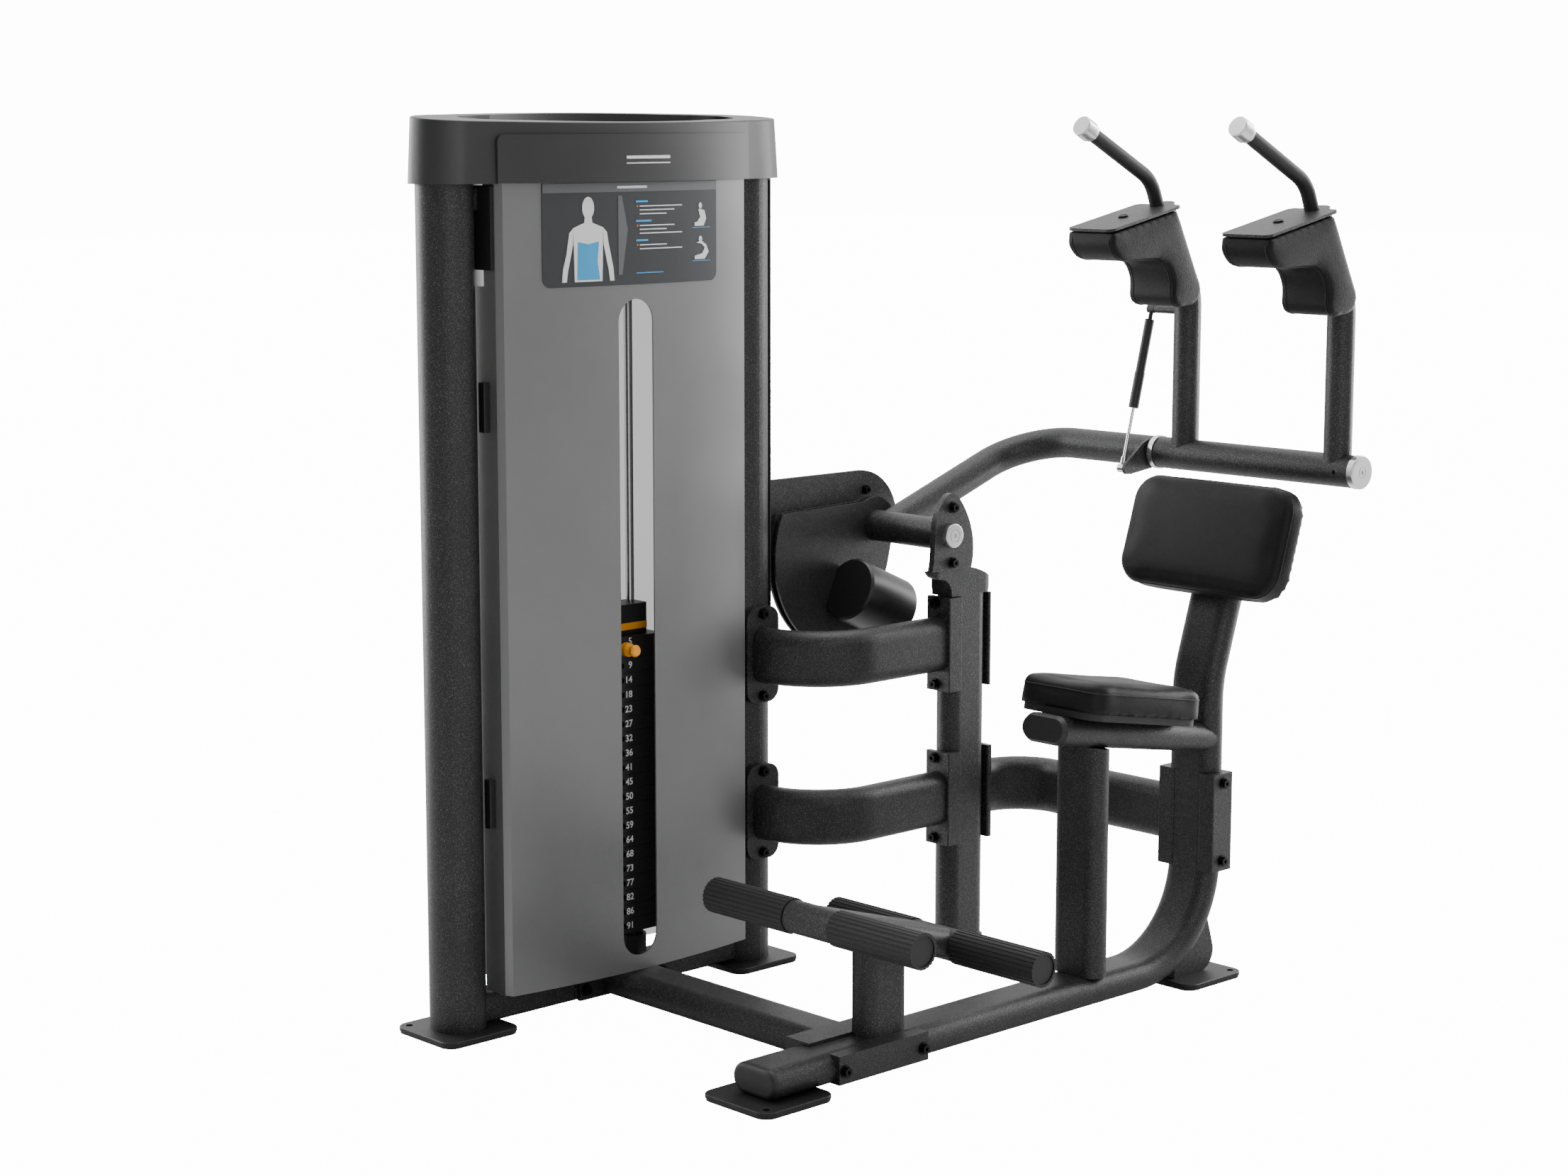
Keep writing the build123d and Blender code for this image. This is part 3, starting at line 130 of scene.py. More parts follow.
def bump(tree, bsdf, height, strength, distance, under=None):
    """Bump the surface, on top of the normal `under` if one is given."""
    node = add_node(tree, "ShaderNodeBump", Strength=strength, Distance=distance)
    tree.links.new(height, node.inputs["Height"])
    if under is not None:
        tree.links.new(under, node.inputs["Normal"])
    tree.links.new(node.outputs["Normal"], bsdf.inputs["Normal"])
    return node.outputs["Normal"]


def scaled(color, factor):
    return tuple(c * factor for c in color)


def grey(value):
    return (value, value, value)


# ------------------------------------------------------------------ material kinds
def powder(name, base, speck, roughness, speck_start, bump_strength, grain=430):
    """Textured powder coat: fine pebbled skin with scattered light specks."""
    material, tree, bsdf = new_material(name)
    vector = object_coords(tree)
    pebble = noise(tree, vector, Scale=grain, Detail=3.0, Roughness=0.6)
    specks = noise(tree, vector, Scale=grain * 1.9, Detail=1.0)
    cloud = noise(tree, vector, Scale=9.0, Detail=3.0)
    speckled = ramp(tree, specks, [
        (0.0, base), (speck_start, base), (speck_start + 0.1, speck), (1.0, speck)])
    shading = ramp(tree, cloud, [(0.3, grey(0.82)), (0.7, grey(1.12))])
    mix = add_node(tree, "ShaderNodeMix", data_type="RGBA", blend_type="MULTIPLY")
    mix.inputs[0].default_value = 1.0
    tree.links.new(speckled, mix.inputs[6])
    tree.links.new(shading, mix.inputs[7])
    tree.links.new(mix.outputs[2], bsdf.inputs["Base Color"])
    rough = map_range(tree, pebble, roughness - 0.09, roughness + 0.12)
    tree.links.new(rough, bsdf.inputs["Roughness"])
    bsdf.inputs["Metallic"].default_value = 0.25
    bump(tree, bsdf, pebble, strength=bump_strength, distance=0.0006)
    return material


def plastic(name, base, roughness=0.5, grain=900, bump_strength=0.12, coat=0.0, metallic=0.0,
            mottle=0.06):
    """Fine-grained skin whose colour varies slowly by the fraction `mottle`."""
    material, tree, bsdf = new_material(name)
    vector = object_coords(tree)
    fine = noise(tree, vector, Scale=grain, Detail=2.0)
    cloud = noise(tree, vector, Scale=6.0, Detail=4.0)
    color = ramp(tree, cloud, [(0.3, scaled(base, 1 - mottle)), (0.7, scaled(base, 1 + mottle))])
    tree.links.new(color, bsdf.inputs["Base Color"])
    rough = map_range(tree, cloud, roughness - 0.05, roughness + 0.06)
    tree.links.new(rough, bsdf.inputs["Roughness"])
    bsdf.inputs["Metallic"].default_value = metallic
    bsdf.inputs["Coat Weight"].default_value = coat
    bump(tree, bsdf, fine, strength=bump_strength, distance=0.0003)
    return material


def leather(name, base):
    """Pebble-grain synthetic leather: rounded cells with fine creases between them."""
    material, tree, bsdf = new_material(name)
    vector = object_coords(tree)
    cells = voronoi(tree, vector, Scale=520.0, feature="SMOOTH_F1", Smoothness=0.35)
    creases = voronoi(tree, vector, Scale=300.0, feature="DISTANCE_TO_EDGE")
    cloud = noise(tree, vector, Scale=14.0, Detail=4.0)
    color = ramp(tree, cloud, [(0.3, scaled(base, 0.8)), (0.75, scaled(base, 1.35))])
    tree.links.new(color, bsdf.inputs["Base Color"])
    tree.links.new(map_range(tree, cloud, 0.42, 0.56), bsdf.inputs["Roughness"])
    bsdf.inputs["Specular IOR Level"].default_value = 0.22
    domes = math_node(tree, "MULTIPLY", cells, -1.0)
    domed = bump(tree, bsdf, domes, strength=0.4, distance=0.0006)
    bump(tree, bsdf, creases, strength=0.2, distance=0.0004, under=domed)
    return material


def metal(name, base, roughness, anisotropy=0.0):
    material, tree, bsdf = new_material(name)
    vector = object_coords(tree)
    fine = noise(tree, vector, Scale=400.0, Detail=3.0)
    cloud = noise(tree, vector, Scale=18.0, Detail=3.0)
    color = ramp(tree, cloud, [(0.3, scaled(base, 0.93)), (0.7, base)])
    tree.links.new(color, bsdf.inputs["Base Color"])
    rough = map_range(tree, fine, roughness - 0.06, roughness + 0.08)
    tree.links.new(rough, bsdf.inputs["Roughness"])
    bsdf.inputs["Metallic"].default_value = 1.0
    bsdf.inputs["Anisotropic"].default_value = anisotropy
    bump(tree, bsdf, fine, strength=0.03, distance=0.0002)
    return material


def add_panel_glow(material):
    """Painted light: a faint glow and a lighter colour on faces turned to +X, fading out towards
    the panel's two Y edges; the other faces are painted dark.
    """
    tree = material.node_tree
    bsdf = tree.nodes["Principled BSDF"]
    # the painted glow drives the colour in place of the mottled ramp
    tree.nodes.remove(bsdf.inputs["Base Color"].links[0].from_node)
    coords = add_node(tree, "ShaderNodeTexCoord")
    place = add_node(tree, "ShaderNodeSeparateXYZ")
    tree.links.new(coords.outputs["Object"], place.inputs[0])
    offset = math_node(tree, "SUBTRACT", place.outputs["Y"], TOWER_Y)
    distance = math_node(tree, "ABSOLUTE", offset)
    fade = map_range(tree, distance, 0.6, 0.0, **{"From Min": 0.19, "From Max": 0.22})
    geometry = add_node(tree, "ShaderNodeNewGeometry")
    normal = add_node(tree, "ShaderNodeSeparateXYZ")
    tree.links.new(geometry.outputs["Normal"], normal.inputs[0])
    facing = math_node(tree, "GREATER_THAN", normal.outputs["X"], 0.3)
    glow = math_node(tree, "MULTIPLY", fade, facing)
    # painted glow: the panel gives off light though it is no lamp
    bsdf.inputs["Emission Color"].default_value = (1, 1, 1, 1)
    tree.links.new(glow, bsdf.inputs["Emission Strength"])
    # painted light and shade: light grey where it glows, near black on the other faces
    color = ramp(tree, glow, [(0.0, grey(0.05)), (0.6, (0.6, 0.6, 0.61))])
    tree.links.new(color, bsdf.inputs["Base Color"])


CROWN_GREY = (0.026, 0.0262, 0.0266)
MATERIALS = {
    "coat": powder("powder_charcoal", (0.015, 0.0151, 0.0155), speck=(0.125, 0.125, 0.127),
                   roughness=0.44, speck_start=0.58, bump_strength=0.7),
    "coat_plate": powder("powder_black", (0.006, 0.006, 0.0062), speck=(0.045, 0.045, 0.046),
                         roughness=0.5, speck_start=0.64, bump_strength=0.6),
    "crown": plastic("plastic_crown", CROWN_GREY, roughness=0.42, bump_strength=0.05),
    "crown_panel": plastic("plastic_crown_panel", CROWN_GREY, roughness=0.40,
                           bump_strength=0.05),
    "plastic": plastic("plastic_black", (0.010, 0.010, 0.0105)),
    "shroud": plastic("shroud_satin_grey", (0.21, 0.21, 0.213), roughness=0.36, grain=420,
                      bump_strength=0.16, metallic=0.6, mottle=0.03),
    # rear shroud: its colour is replaced by painted light and shade in add_panel_glow
    "shroud_light": plastic("shroud_painted_glow", (0.60, 0.60, 0.61), roughness=0.55,
                            mottle=0.02),
    "placard": plastic("placard_dark", (0.034, 0.036, 0.040), roughness=0.36,
                       bump_strength=0.03),
    "plates": plastic("stack_black", (0.008, 0.008, 0.0085), roughness=0.45, grain=500,
                      bump_strength=0.2),
    "counter": plastic("counterweight_black", (0.007, 0.007, 0.0072), roughness=0.42,
                       grain=400),
    "yellow": plastic("yellow_moulded", (0.90, 0.36, 0.012), roughness=0.35,
                      bump_strength=0.06, coat=0.2),
    "rubber": plastic("rubber_black", (0.0045, 0.0045, 0.0046), roughness=0.55, grain=650,
                      bump_strength=0.3),
    "grip": plastic("rubber_grip", (0.009, 0.009, 0.0093), roughness=0.6, grain=950,
                    bump_strength=0.4),
    "belt": plastic("belt_woven", grey(0.012), roughness=0.7, grain=1500, bump_strength=0.5),
    "board": plastic("board_black", grey(0.012), roughness=0.6, grain=200, bump_strength=0.2),
    "bolt": plastic("bolt_black_oxide", (0.010, 0.010, 0.011), roughness=0.32, metallic=0.7,
                    grain=600),
    "chrome": metal("chrome", (0.83, 0.83, 0.84), roughness=0.12),
    "satin": metal("satin_aluminium", grey(0.80), roughness=0.30, anisotropy=0.4),
    "steel": metal("bright_steel", (0.62, 0.62, 0.63), roughness=0.2),
    "leather": leather("pebble_grain", (0.0045, 0.0045, 0.0046)),
    "seam": plastic("seam_black", grey(0.006), roughness=0.65, grain=1200, bump_strength=0.5),
    "white": plastic("print_white", grey(0.78), bump_strength=0.02, mottle=0.02),
    "grey_print": plastic("print_grey", (0.11, 0.115, 0.12), roughness=0.45,
                          bump_strength=0.02),
    "blue": plastic("print_blue", (0.035, 0.36, 0.70), roughness=0.45, bump_strength=0.02),
    "orange": plastic("print_orange", (0.80, 0.22, 0.03), roughness=0.45, bump_strength=0.02),
}
# painted glow and painted light and shade on the rear shroud
add_panel_glow(MATERIALS["shroud_light"])

# material: the frame pieces that wear it
FRAME_MATERIALS = {
    "coat": """tower_posts tower_beams bearing_plates column braces_front brace_rear
        brace_flanges main_frame cross_tube cross_saddles seat_frame seat_post foot_link
        arm_tube cam shoulder_frame""",
    "coat_plate": "foot_plates pulley_brackets",
    "crown": "crown_shell",
    "crown_panel": "crown_panel",
    "plastic": """carriage_block pulley_front pulley_rear pulley_redirect shroud_clips
        end_caps strut_cylinder""",
    "shroud": "shroud_front",
    "shroud_light": "shroud_rear",
    "placard": "placard",
    "plates": "weight_plates top_plate",
    "counter": "counterweight",
    "yellow": "carriage_band selector_knob",
    "rubber": """foot_pads stack_cushions roller_front_l roller_front_r roller_rear_l
        roller_rear_r""",
    "grip": "handles",
    "belt": "belt_run",
    "board": "pad_boards",
    "bolt": "frame_bolts",
    "chrome": "selector_pin strut_rod",
    "satin": "shafts pivot_cap sleeve_trim handle_caps",
    "steel": "guide_rods selector_stem arm_shaft",
}
for material_key, piece_names in FRAME_MATERIALS.items():
    for piece_name in piece_names.split():
        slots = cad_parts[piece_name].data.materials
        slots.clear()
        slots.append(MATERIALS[material_key])


# ------------------------------------------------------------------ piece helpers
def add_object(name, data):
    piece = bpy.data.objects.new(name, data)
    bpy.context.scene.collection.objects.link(piece)
    return piece


def assign(piece, body, replaces=None):
    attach(piece, body)
    if replaces:
        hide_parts(replaces)


def activate(piece):
    bpy.ops.object.select_all(action="DESELECT")
    piece.select_set(True)
    bpy.context.view_layer.objects.active = piece


def convert(piece, target):
    activate(piece)
    bpy.ops.object.convert(target=target)
    return bpy.context.view_layer.objects.active


def apply_modifier(piece, kind, **settings):
    modifier = piece.modifiers.new(kind.lower(), kind)
    for key, value in settings.items():
        setattr(modifier, key, value)
    apply_all(piece)


def apply_all(piece):
    activate(piece)
    for modifier in list(piece.modifiers):
        bpy.ops.object.modifier_apply(modifier=modifier.name)


def shade_smooth(piece):
    for polygon in piece.data.polygons:
        polygon.use_smooth = True


# ------------------------------------------------------------------ covers and welts
CLOTH_FRAMES = 20
CLOTH_STIFFNESS = 12.0
SPREAD_PASSES = 14


def run_cloth(cover, pinned, pressure):
    """Blow the cover up with its pinned vertices held."""
    group = cover.vertex_groups.new(name="pin")
    for index in pinned:
        group.add([index], 1.0, "REPLACE")
    cloth = cover.modifiers.new("cloth", "CLOTH")
    settings = cloth.settings
    settings.quality = 6
    settings.mass = 0.3
    settings.tension_stiffness = CLOTH_STIFFNESS
    settings.compression_stiffness = CLOTH_STIFFNESS
    settings.shear_stiffness = CLOTH_STIFFNESS * 0.5
    settings.bending_stiffness = 0.6
    settings.use_pressure = True
    settings.uniform_pressure_force = pressure
    settings.vertex_group_mass = "pin"
    settings.effector_weights.gravity = 0.0
    cloth.collision_settings.use_collision = False
    cloth.point_cache.frame_start = 1
    cloth.point_cache.frame_end = CLOTH_FRAMES
    for frame_number in range(1, CLOTH_FRAMES + 1):
        bpy.context.scene.frame_set(frame_number)
    apply_all(cover)
    bpy.context.scene.frame_set(1)


def even_swelling(mesh, rest, swell_cap):
    """Cap the swelling and spread it evenly so that the cover stays taut."""
    moves = []
    for vertex, start in zip(mesh.vertices, rest):
        move = vertex.co - start
        if move.length > swell_cap:
            move = move.normalized() * swell_cap
        moves.append(move)
    neighbours = [[] for _ in moves]
    for edge in mesh.edges:
        first, second = edge.vertices
        neighbours[first].append(second)
        neighbours[second].append(first)
    for _ in range(SPREAD_PASSES):
        moves = [
            (moves[i] + sum((moves[j] for j in near), Vector())) / (len(near) + 1)
            for i, near in enumerate(neighbours)
        ]
    for vertex, start, move in zip(mesh.vertices, rest, moves):
        vertex.co = start + move


def inflate(source, name, origin, normal, swell_cap, back=0.0, pressure=4.0, voxel=0.005,
            shrink=0.002):
    """A sewn cover blown up over its foam.

    Depths run along `normal` from `origin`; what lies below `back` stays put.
    """
    cover = add_object(name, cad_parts[source].data.copy())
    cover.data.materials.clear()
    normal = normal.normalized()
    apply_modifier(cover, "REMESH", mode="VOXEL", voxel_size=voxel)
    apply_modifier(cover, "SMOOTH", factor=0.5, iterations=2)
    mesh = cover.data
    mesh.update()
    # start slightly inside the cover's final size
    normals = [v.normal.copy() for v in mesh.vertices]
    depths = [(v.co - origin).dot(normal) for v in mesh.vertices]
    for vertex, vertex_normal, depth in zip(mesh.vertices, normals, depths):
        if depth > back + 0.001:
            vertex.co -= vertex_normal * shrink
    rest = [v.co.copy() for v in mesh.vertices]
    pinned = [i for i, depth in enumerate(depths) if depth < back + 0.003]
    run_cloth(cover, pinned, pressure)
    even_swelling(cover.data, rest, swell_cap)
    apply_modifier(cover, "SUBSURF", levels=1, render_levels=1)
    shade_smooth(cover)
    cover.data.materials.append(MATERIALS["leather"])
    return cover


def add_seam(cover, name, body, origin, normal, depth, radius=0.0012, keep=lambda point: True):
    """Sewn welt that follows the cover where a plane meets it."""
    normal = normal.normalized()
    bm = bmesh.new()
    bm.from_mesh(cover.data)
    cut = bmesh.ops.bisect_plane(bm, geom=bm.verts[:] + bm.edges[:] + bm.faces[:],
                                 plane_co=origin + normal * depth, plane_no=normal)
    cut_edges = [e for e in cut["geom_cut"] if isinstance(e, bmesh.types.BMEdge)]
    cut_verts = list(dict.fromkeys(v for e in cut_edges for v in e.verts))
    index = {v: i for i, v in enumerate(cut_verts)}
    points = [v.co.copy() for v in cut_verts]
    kept = [keep(point) for point in points]
    edges = [tuple(index[v] for v in e.verts) for e in cut_edges]
    edges = [(i, j) for i, j in edges if kept[i] and kept[j]]
    bm.free()

    mesh = bpy.data.meshes.new(name)
    mesh.from_pydata(points, edges, [])
    welt = add_object(name, mesh)
    bm = bmesh.new()
    bm.from_mesh(mesh)
    bmesh.ops.delete(bm, geom=[v for v in bm.verts if not v.link_edges], context="VERTS")
    bmesh.ops.remove_doubles(bm, verts=bm.verts, dist=0.0012)
    bm.to_mesh(mesh)
    bm.free()
    welt = convert(welt, "CURVE")
    welt.data.bevel_depth = radius
    welt.data.bevel_resolution = 2
    welt = convert(welt, "MESH")
    shade_smooth(welt)
    welt.data.materials.clear()
    welt.data.materials.append(MATERIALS["seam"])
    welt.name = name
    assign(welt, body)


# ------------------------------------------------------------------ seat and backrest
SEAT_X = 614.7
SEAT_TILT = math.radians(9.62)
BACK_TILT = math.radians(18)
SHOULDER_SPACING = 169.8  # each shoulder pad from the seat's centre line
SHOULDER_TILT = math.radians(27)


def build_seat():
    normal = Vector((0, math.sin(SEAT_TILT), math.cos(SEAT_TILT)))
    rise = 25  # millimetres along the normal from the frame to the pad
    origin = design_point(SEAT_X, 450 + rise * normal.y, 501 + rise * normal.z)
    origin += normal * 0.0121
    seat = inflate("seat_pad", "seat_cushion", origin, normal, swell_cap=0.005)
    assign(seat, "frame", replaces="seat_pad")
    add_seam(seat, "seat_seam_0", "frame", origin, normal, depth=0.034)


def build_back():
    normal = Vector((0, -math.cos(BACK_TILT), math.sin(BACK_TILT)))
    middle_z = 768.0
    middle_y = 849.1 + (middle_z - 535.0) * math.tan(BACK_TILT)
    origin = design_point(SEAT_X, middle_y, middle_z) + normal * 0.03515
    back = inflate("back_pad", "back_cushion", origin, normal, swell_cap=0.004)
    assign(back, "frame", replaces="back_pad")
    add_seam(back, "back_seam", "frame", origin, normal, depth=0.031)


# ------------------------------------------------------------------ shoulder pads
PLATE_NORMAL = Vector((0, -0.1995, 0.9799))  # of the plate over each shoulder pad
PLATE_SLOPE = 0.20363
BOLT_RADIUS = 0.009
BOLT_HEIGHT = 0.003


def build_shoulder_pad(side, x):
    normal = Vector((0, -math.cos(SHOULDER_TILT), -math.sin(SHOULDER_TILT)))
    origin = design_point(x, 981, 1220)
    pad = inflate(f"shoulder_pad_{side}", f"shoulder_cushion_{side}", origin, normal,
                  swell_cap=0.002, back=-0.03, pressure=3.0, voxel=0.004, shrink=0.0006)
    assign(pad, "shoulders", replaces=f"shoulder_pad_{side}")

    def clear_of_flats(point):
        """The welts stop short of the flat top and the flat back."""
        below_plate = (point - design_point(x, 738, 1316.0)).dot(PLATE_NORMAL) < -0.010
        return below_plate and (point - origin).dot(normal) > 0.012

    for letter, depth in (("a", -0.042), ("b", 0.042)):
        add_seam(pad, f"shoulder_seam_{side}_{letter}", "shoulders", design_point(x, 0, 0),
                 Vector((1, 0, 0)), depth, radius=0.0010, keep=clear_of_flats)


def build_pad_bolt(side, x):
    """Socket head on the plate over the pad."""
    bpy.ops.mesh.primitive_cylinder_add(vertices=32, radius=BOLT_RADIUS, depth=BOLT_HEIGHT)
    bolt = bpy.context.object
    bm = bmesh.new()
    bm.from_mesh(bolt.data)
    socket = max(bm.faces, key=lambda face: face.calc_center_median().z)
    bmesh.ops.inset_individual(bm, faces=[socket], thickness=0.0035)
    for vertex in socket.verts:
        vertex.co.z -= 0.0016
    rim = [
        e for e in bm.edges
        if all(abs(v.co.z - BOLT_HEIGHT / 2) < 1e-5 for v in e.verts)
        and e.verts[0].co.length > BOLT_RADIUS - 0.0002
    ]
    bmesh.ops.bevel(bm, geom=rim, offset=0.0005, segments=2, affect="EDGES")
    bm.to_mesh(bolt.data)
    bm.free()
    bolt.name = f"pad_bolt_{side}"
    bolt.rotation_mode = "QUATERNION"
    bolt.rotation_quaternion = Vector((0, 0, 1)).rotation_difference(PLATE_NORMAL)
    y = 826
    plate_top = design_point(x, y, 1316.3 + PLATE_SLOPE * (y - 735)) + PLATE_NORMAL * 0.00505
    bolt.location = plate_top + PLATE_NORMAL * 0.0016
    shade_smooth(bolt)
    bolt.data.materials.append(MATERIALS["bolt"])
    assign(bolt, "shoulders")


build_seat()
build_back()
for side, sign in (("l", -1), ("r", 1)):
    shoulder_x = SEAT_X + sign * SHOULDER_SPACING
    build_shoulder_pad(side, shoulder_x)
    build_pad_bolt(side, shoulder_x)


# ------------------------------------------------------------------ lift belt
BELT_STEPS = 40
# section as (x, y) fractions of the half width and half thickness, grooved on its -Y face
BELT_SECTION = [
    (-1, -0.6), (-0.96, -1), (-0.5, -1), (-0.45, -0.8), (-0.05, -0.8), (0, -1), (0.5, -1),
    (0.96, -1), (1, -0.6), (1, 0.6), (0.96, 1), (-0.96, 1), (-1, 0.6),
]


def build_lift_belt():
    """Belt strip, grooved on one face, over the straight run of the lift belt."""
    low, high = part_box("belt_lift")
    length = high.z - low.z
    half_width = (high.x - low.x) / 2
    half_thickness = (high.y - low.y) / 2
    x = (low.x + high.x) / 2
    y = (low.y + high.y) / 2
    bm = bmesh.new()
    rows = []
    for i in range(BELT_STEPS + 1):
        z = low.z + length * i / BELT_STEPS
        rows.append([bm.verts.new((x + half_width * across, y + half_thickness * through, z))
                     for across, through in BELT_SECTION])
    for lower, upper in zip(rows, rows[1:]):
        for j in range(len(BELT_SECTION)):
            k = (j + 1) % len(BELT_SECTION)
            bm.faces.new((lower[j], lower[k], upper[k], upper[j]))
    bm.faces.new(rows[0][::-1])
    bm.faces.new(rows[-1])
    bmesh.ops.recalc_face_normals(bm, faces=bm.faces[:])
    mesh = bpy.data.meshes.new("belt_lift_strip")
    bm.to_mesh(mesh)
    bm.free()
    belt = add_object("belt_lift_strip", mesh)
    mesh.materials.append(MATERIALS["belt"])
    assign(belt, "frame", replaces="belt_lift")
    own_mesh(belt)


build_lift_belt()

# ------------------------------------------------------------------ numerals on the stack
PLATE_LABELS = "9 14 18 23 27 32 36 41 45 50 55 59 64 68 73 77 82 86 91".split()  # top down
PLATE_PITCH = 0.0254
# text runs along +Y, stands along +Z and faces +X
TEXT_TURN = Matrix(((0, 0, 1), (1, 0, 0), (0, 1, 0))).to_4x4()


def build_number(name, text, face_x, z, body):
    curve = bpy.data.curves.new(name, "FONT")
    curve.body = text
    curve.size = 0.0165
    curve.extrude = 0.0001
    curve.offset = 0.00025
    curve.align_x = "RIGHT"
    curve.align_y = "CENTER"
    numeral = add_object(name, curve)
    place = Matrix.Translation((face_x + 0.0004, TOWER_Y + 0.0225, z))
    numeral.matrix_world = place @ TEXT_TURN
    numeral = convert(numeral, "MESH")
    numeral.name = name
    numeral.data.materials.clear()
    numeral.data.materials.append(MATERIALS["white"])
    assign(numeral, body)


stack_low, stack_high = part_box("weight_plates")
for i, label in enumerate(PLATE_LABELS):
    label_z = stack_low.z + (len(PLATE_LABELS) - 1 - i) * PLATE_PITCH + 0.0124
    build_number(f"number_{i + 1:02d}", label, stack_high.x, label_z, "frame")
top_plate_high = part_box("top_plate")[1]
build_number("number_00", "5", top_plate_high.x, top_plate_high.z - 0.008, "carriage")


# ------------------------------------------------------------------ print on curved faces
# Print outlines are (y, z) in design millimetres; `lift` is millimetres off the face.
def bowed_face(front_x, half_width, bow, middle_y=0.0):
    """Point finder for an upright face bowed to +X, set by its half width and bow depth."""
    radius = (half_width ** 2 + bow ** 2) / (2 * bow)

    def point(y, z, lift):
        across = y - middle_y
        x = front_x - (radius - math.sqrt(radius * radius - across * across))
        return design_point(x + lift, y, z)

    return point


placard_face = bowed_face(front_x=95.2, half_width=262.0, bow=20.0)
crown_face = bowed_face(front_x=108.4, half_width=270.0, bow=31.2, middle_y=-4.0)


def add_print(name, material, outlines, lift=0.5, face=placard_face):
    """Thin printed shapes wrapped on a bowed face."""
    bm = bmesh.new()
    for outline in outlines:
        bm.faces.new([bm.verts.new((0, y, z)) for y, z in outline])
    bmesh.ops.triangulate(bm, faces=bm.faces[:])
    bmesh.ops.subdivide_edges(bm, edges=bm.edges[:], cuts=3, use_grid_fill=True)
    for vertex in bm.verts:
        vertex.co = face(vertex.co.y, vertex.co.z, lift)
    mesh = bpy.data.meshes.new(name)
    bmesh.ops.recalc_face_normals(bm, faces=bm.faces[:])
    bm.to_mesh(mesh)
    bm.free()
    shape = add_object(name, mesh)
    apply_modifier(shape, "SOLIDIFY", thickness=0.0003, offset=0)
    shape.data.materials.append(MATERIALS[material])
    assign(shape, "frame")


def bar(y0, y1, z0, z1):
    """Rectangle with its long sides split into steps of at least 12 mm."""
    steps = max(1, int((y1 - y0) / 12))
    lower = [(y0 + (y1 - y0) * i / steps, z0) for i in range(steps + 1)]
    upper = [(y1 - (y1 - y0) * i / steps, z1) for i in range(steps + 1)]
    return lower + upper


def ellipse(y, z, half_width, half_height, count=28):
    turns = [2 * math.pi * i / count for i in range(count)]
    return [(y + half_width * math.cos(a), z + half_height * math.sin(a)) for a in turns]


# figure outlines: (y from the figure's middle, z)
FIGURE_Y = -100
FIGURE_BODY = [
    (-7, 1352), (-8, 1343), (-30, 1335), (-27, 1312), (-22, 1290), (-25, 1268), (-28, 1247),
    (28, 1247), (25, 1268), (22, 1290), (27, 1312), (30, 1335), (8, 1343), (7, 1352),
]
FIGURE_ARM = [
    (30, 1335), (38, 1327), (41, 1310), (44, 1292), (51, 1268), (53, 1247), (44, 1247),
    (41, 1266), (35, 1290), (31, 1308),
]
FIGURE_TORSO = [
    (-21, 1312), (-18, 1280), (-23, 1250), (23, 1250), (18, 1280), (21, 1312), (0, 1308),
]
DIVIDER = [(-38, 1256), (-38, 1386), (-30, 1386), (-18, 1330), (-30, 1256)]
# text blocks: (z of the heading's lower edge, number of lines)
TEXT_BLOCKS = [(1374, 3), (1342, 3), (1310, 2)]
LINE_WIDTHS = (96, 78, 60)
# icons: (middle z, outline as (y, z from the middle))
ICONS = [
    (1352, [(143, 8), (152, 8), (155, -6), (150, -12), (134, -14), (134, -20), (156, -20),
            (162, -8), (158, 6)]),
    (1296, [(138, 8), (148, 8), (160, -2), (162, -12), (150, -14), (134, -14), (134, -20),
            (158, -20), (168, -8), (162, 4), (150, 11)]),
]


def print_figure():
    def placed(outline, sign=1):
        return [(FIGURE_Y + sign * y, z) for y, z in outline]

    add_print("placard_figure", "white", [placed(FIGURE_BODY)[::-1]], lift=0.4)
    add_print("placard_arm_l", "white", [placed(FIGURE_ARM, -1)], lift=0.4)
    add_print("placard_arm_r", "white", [placed(FIGURE_ARM)[::-1]], lift=0.4)
    add_print("placard_figure_head", "white", [ellipse(FIGURE_Y, 1367, 12, 18)], lift=0.4)
    add_print("placard_torso", "blue", [placed(FIGURE_TORSO)[::-1]], lift=0.8)


def print_text_blocks():
    """Bars standing for headings and lines of text, with a dot before each block."""
    lines, headings, dots = [], [], []
    for block, (z, line_count) in enumerate(TEXT_BLOCKS):
        headings.append(bar(0, 26 + 8 * (block % 2), z, z + 3.2))
        for row in range(line_count):
            width = LINE_WIDTHS[(row + block) % 3]
            lines.append(bar(8, 8 + width, z - 7 - 6.4 * row, z - 5.2 - 6.4 * row))
        dots.append(ellipse(3, z - 6.1, 1.6, 1.6, count=14))
    add_print("placard_lines", "white", lines)
    add_print("placard_heads", "blue", headings)
    add_print("placard_dots", "orange", dots)


def print_icons():
    for j, (middle_z, outline) in enumerate(ICONS):
        add_print(f"placard_icon_head_{j}", "white", [ellipse(148, middle_z + 14, 4, 5)])
        placed = [(y, middle_z + z) for y, z in outline]
        add_print(f"placard_icon_{j}", "white", [placed[::-1]])
        add_print(f"placard_icon_line_{j}", "blue",
                  [bar(128, 172, middle_z - 23, middle_z - 22)])


add_print("placard_title_strip", "grey_print", [bar(-189, 187, 1392, 1407)], lift=0.35)
add_print("placard_title_bar", "white", [bar(-40, 24, 1397.5, 1401.5)], lift=0.8)
print_figure()
add_print("placard_divider", "grey_print", [DIVIDER], lift=0.35)
print_text_blocks()
add_print("placard_foot_line", "blue", [bar(0, 60, 1257, 1258.6)])
print_icons()
add_print("crown_emblem_bar", "white", [bar(-30, 66, 1446, 1451), bar(-30, 66, 1438, 1440)],
          lift=0.4, face=crown_face)


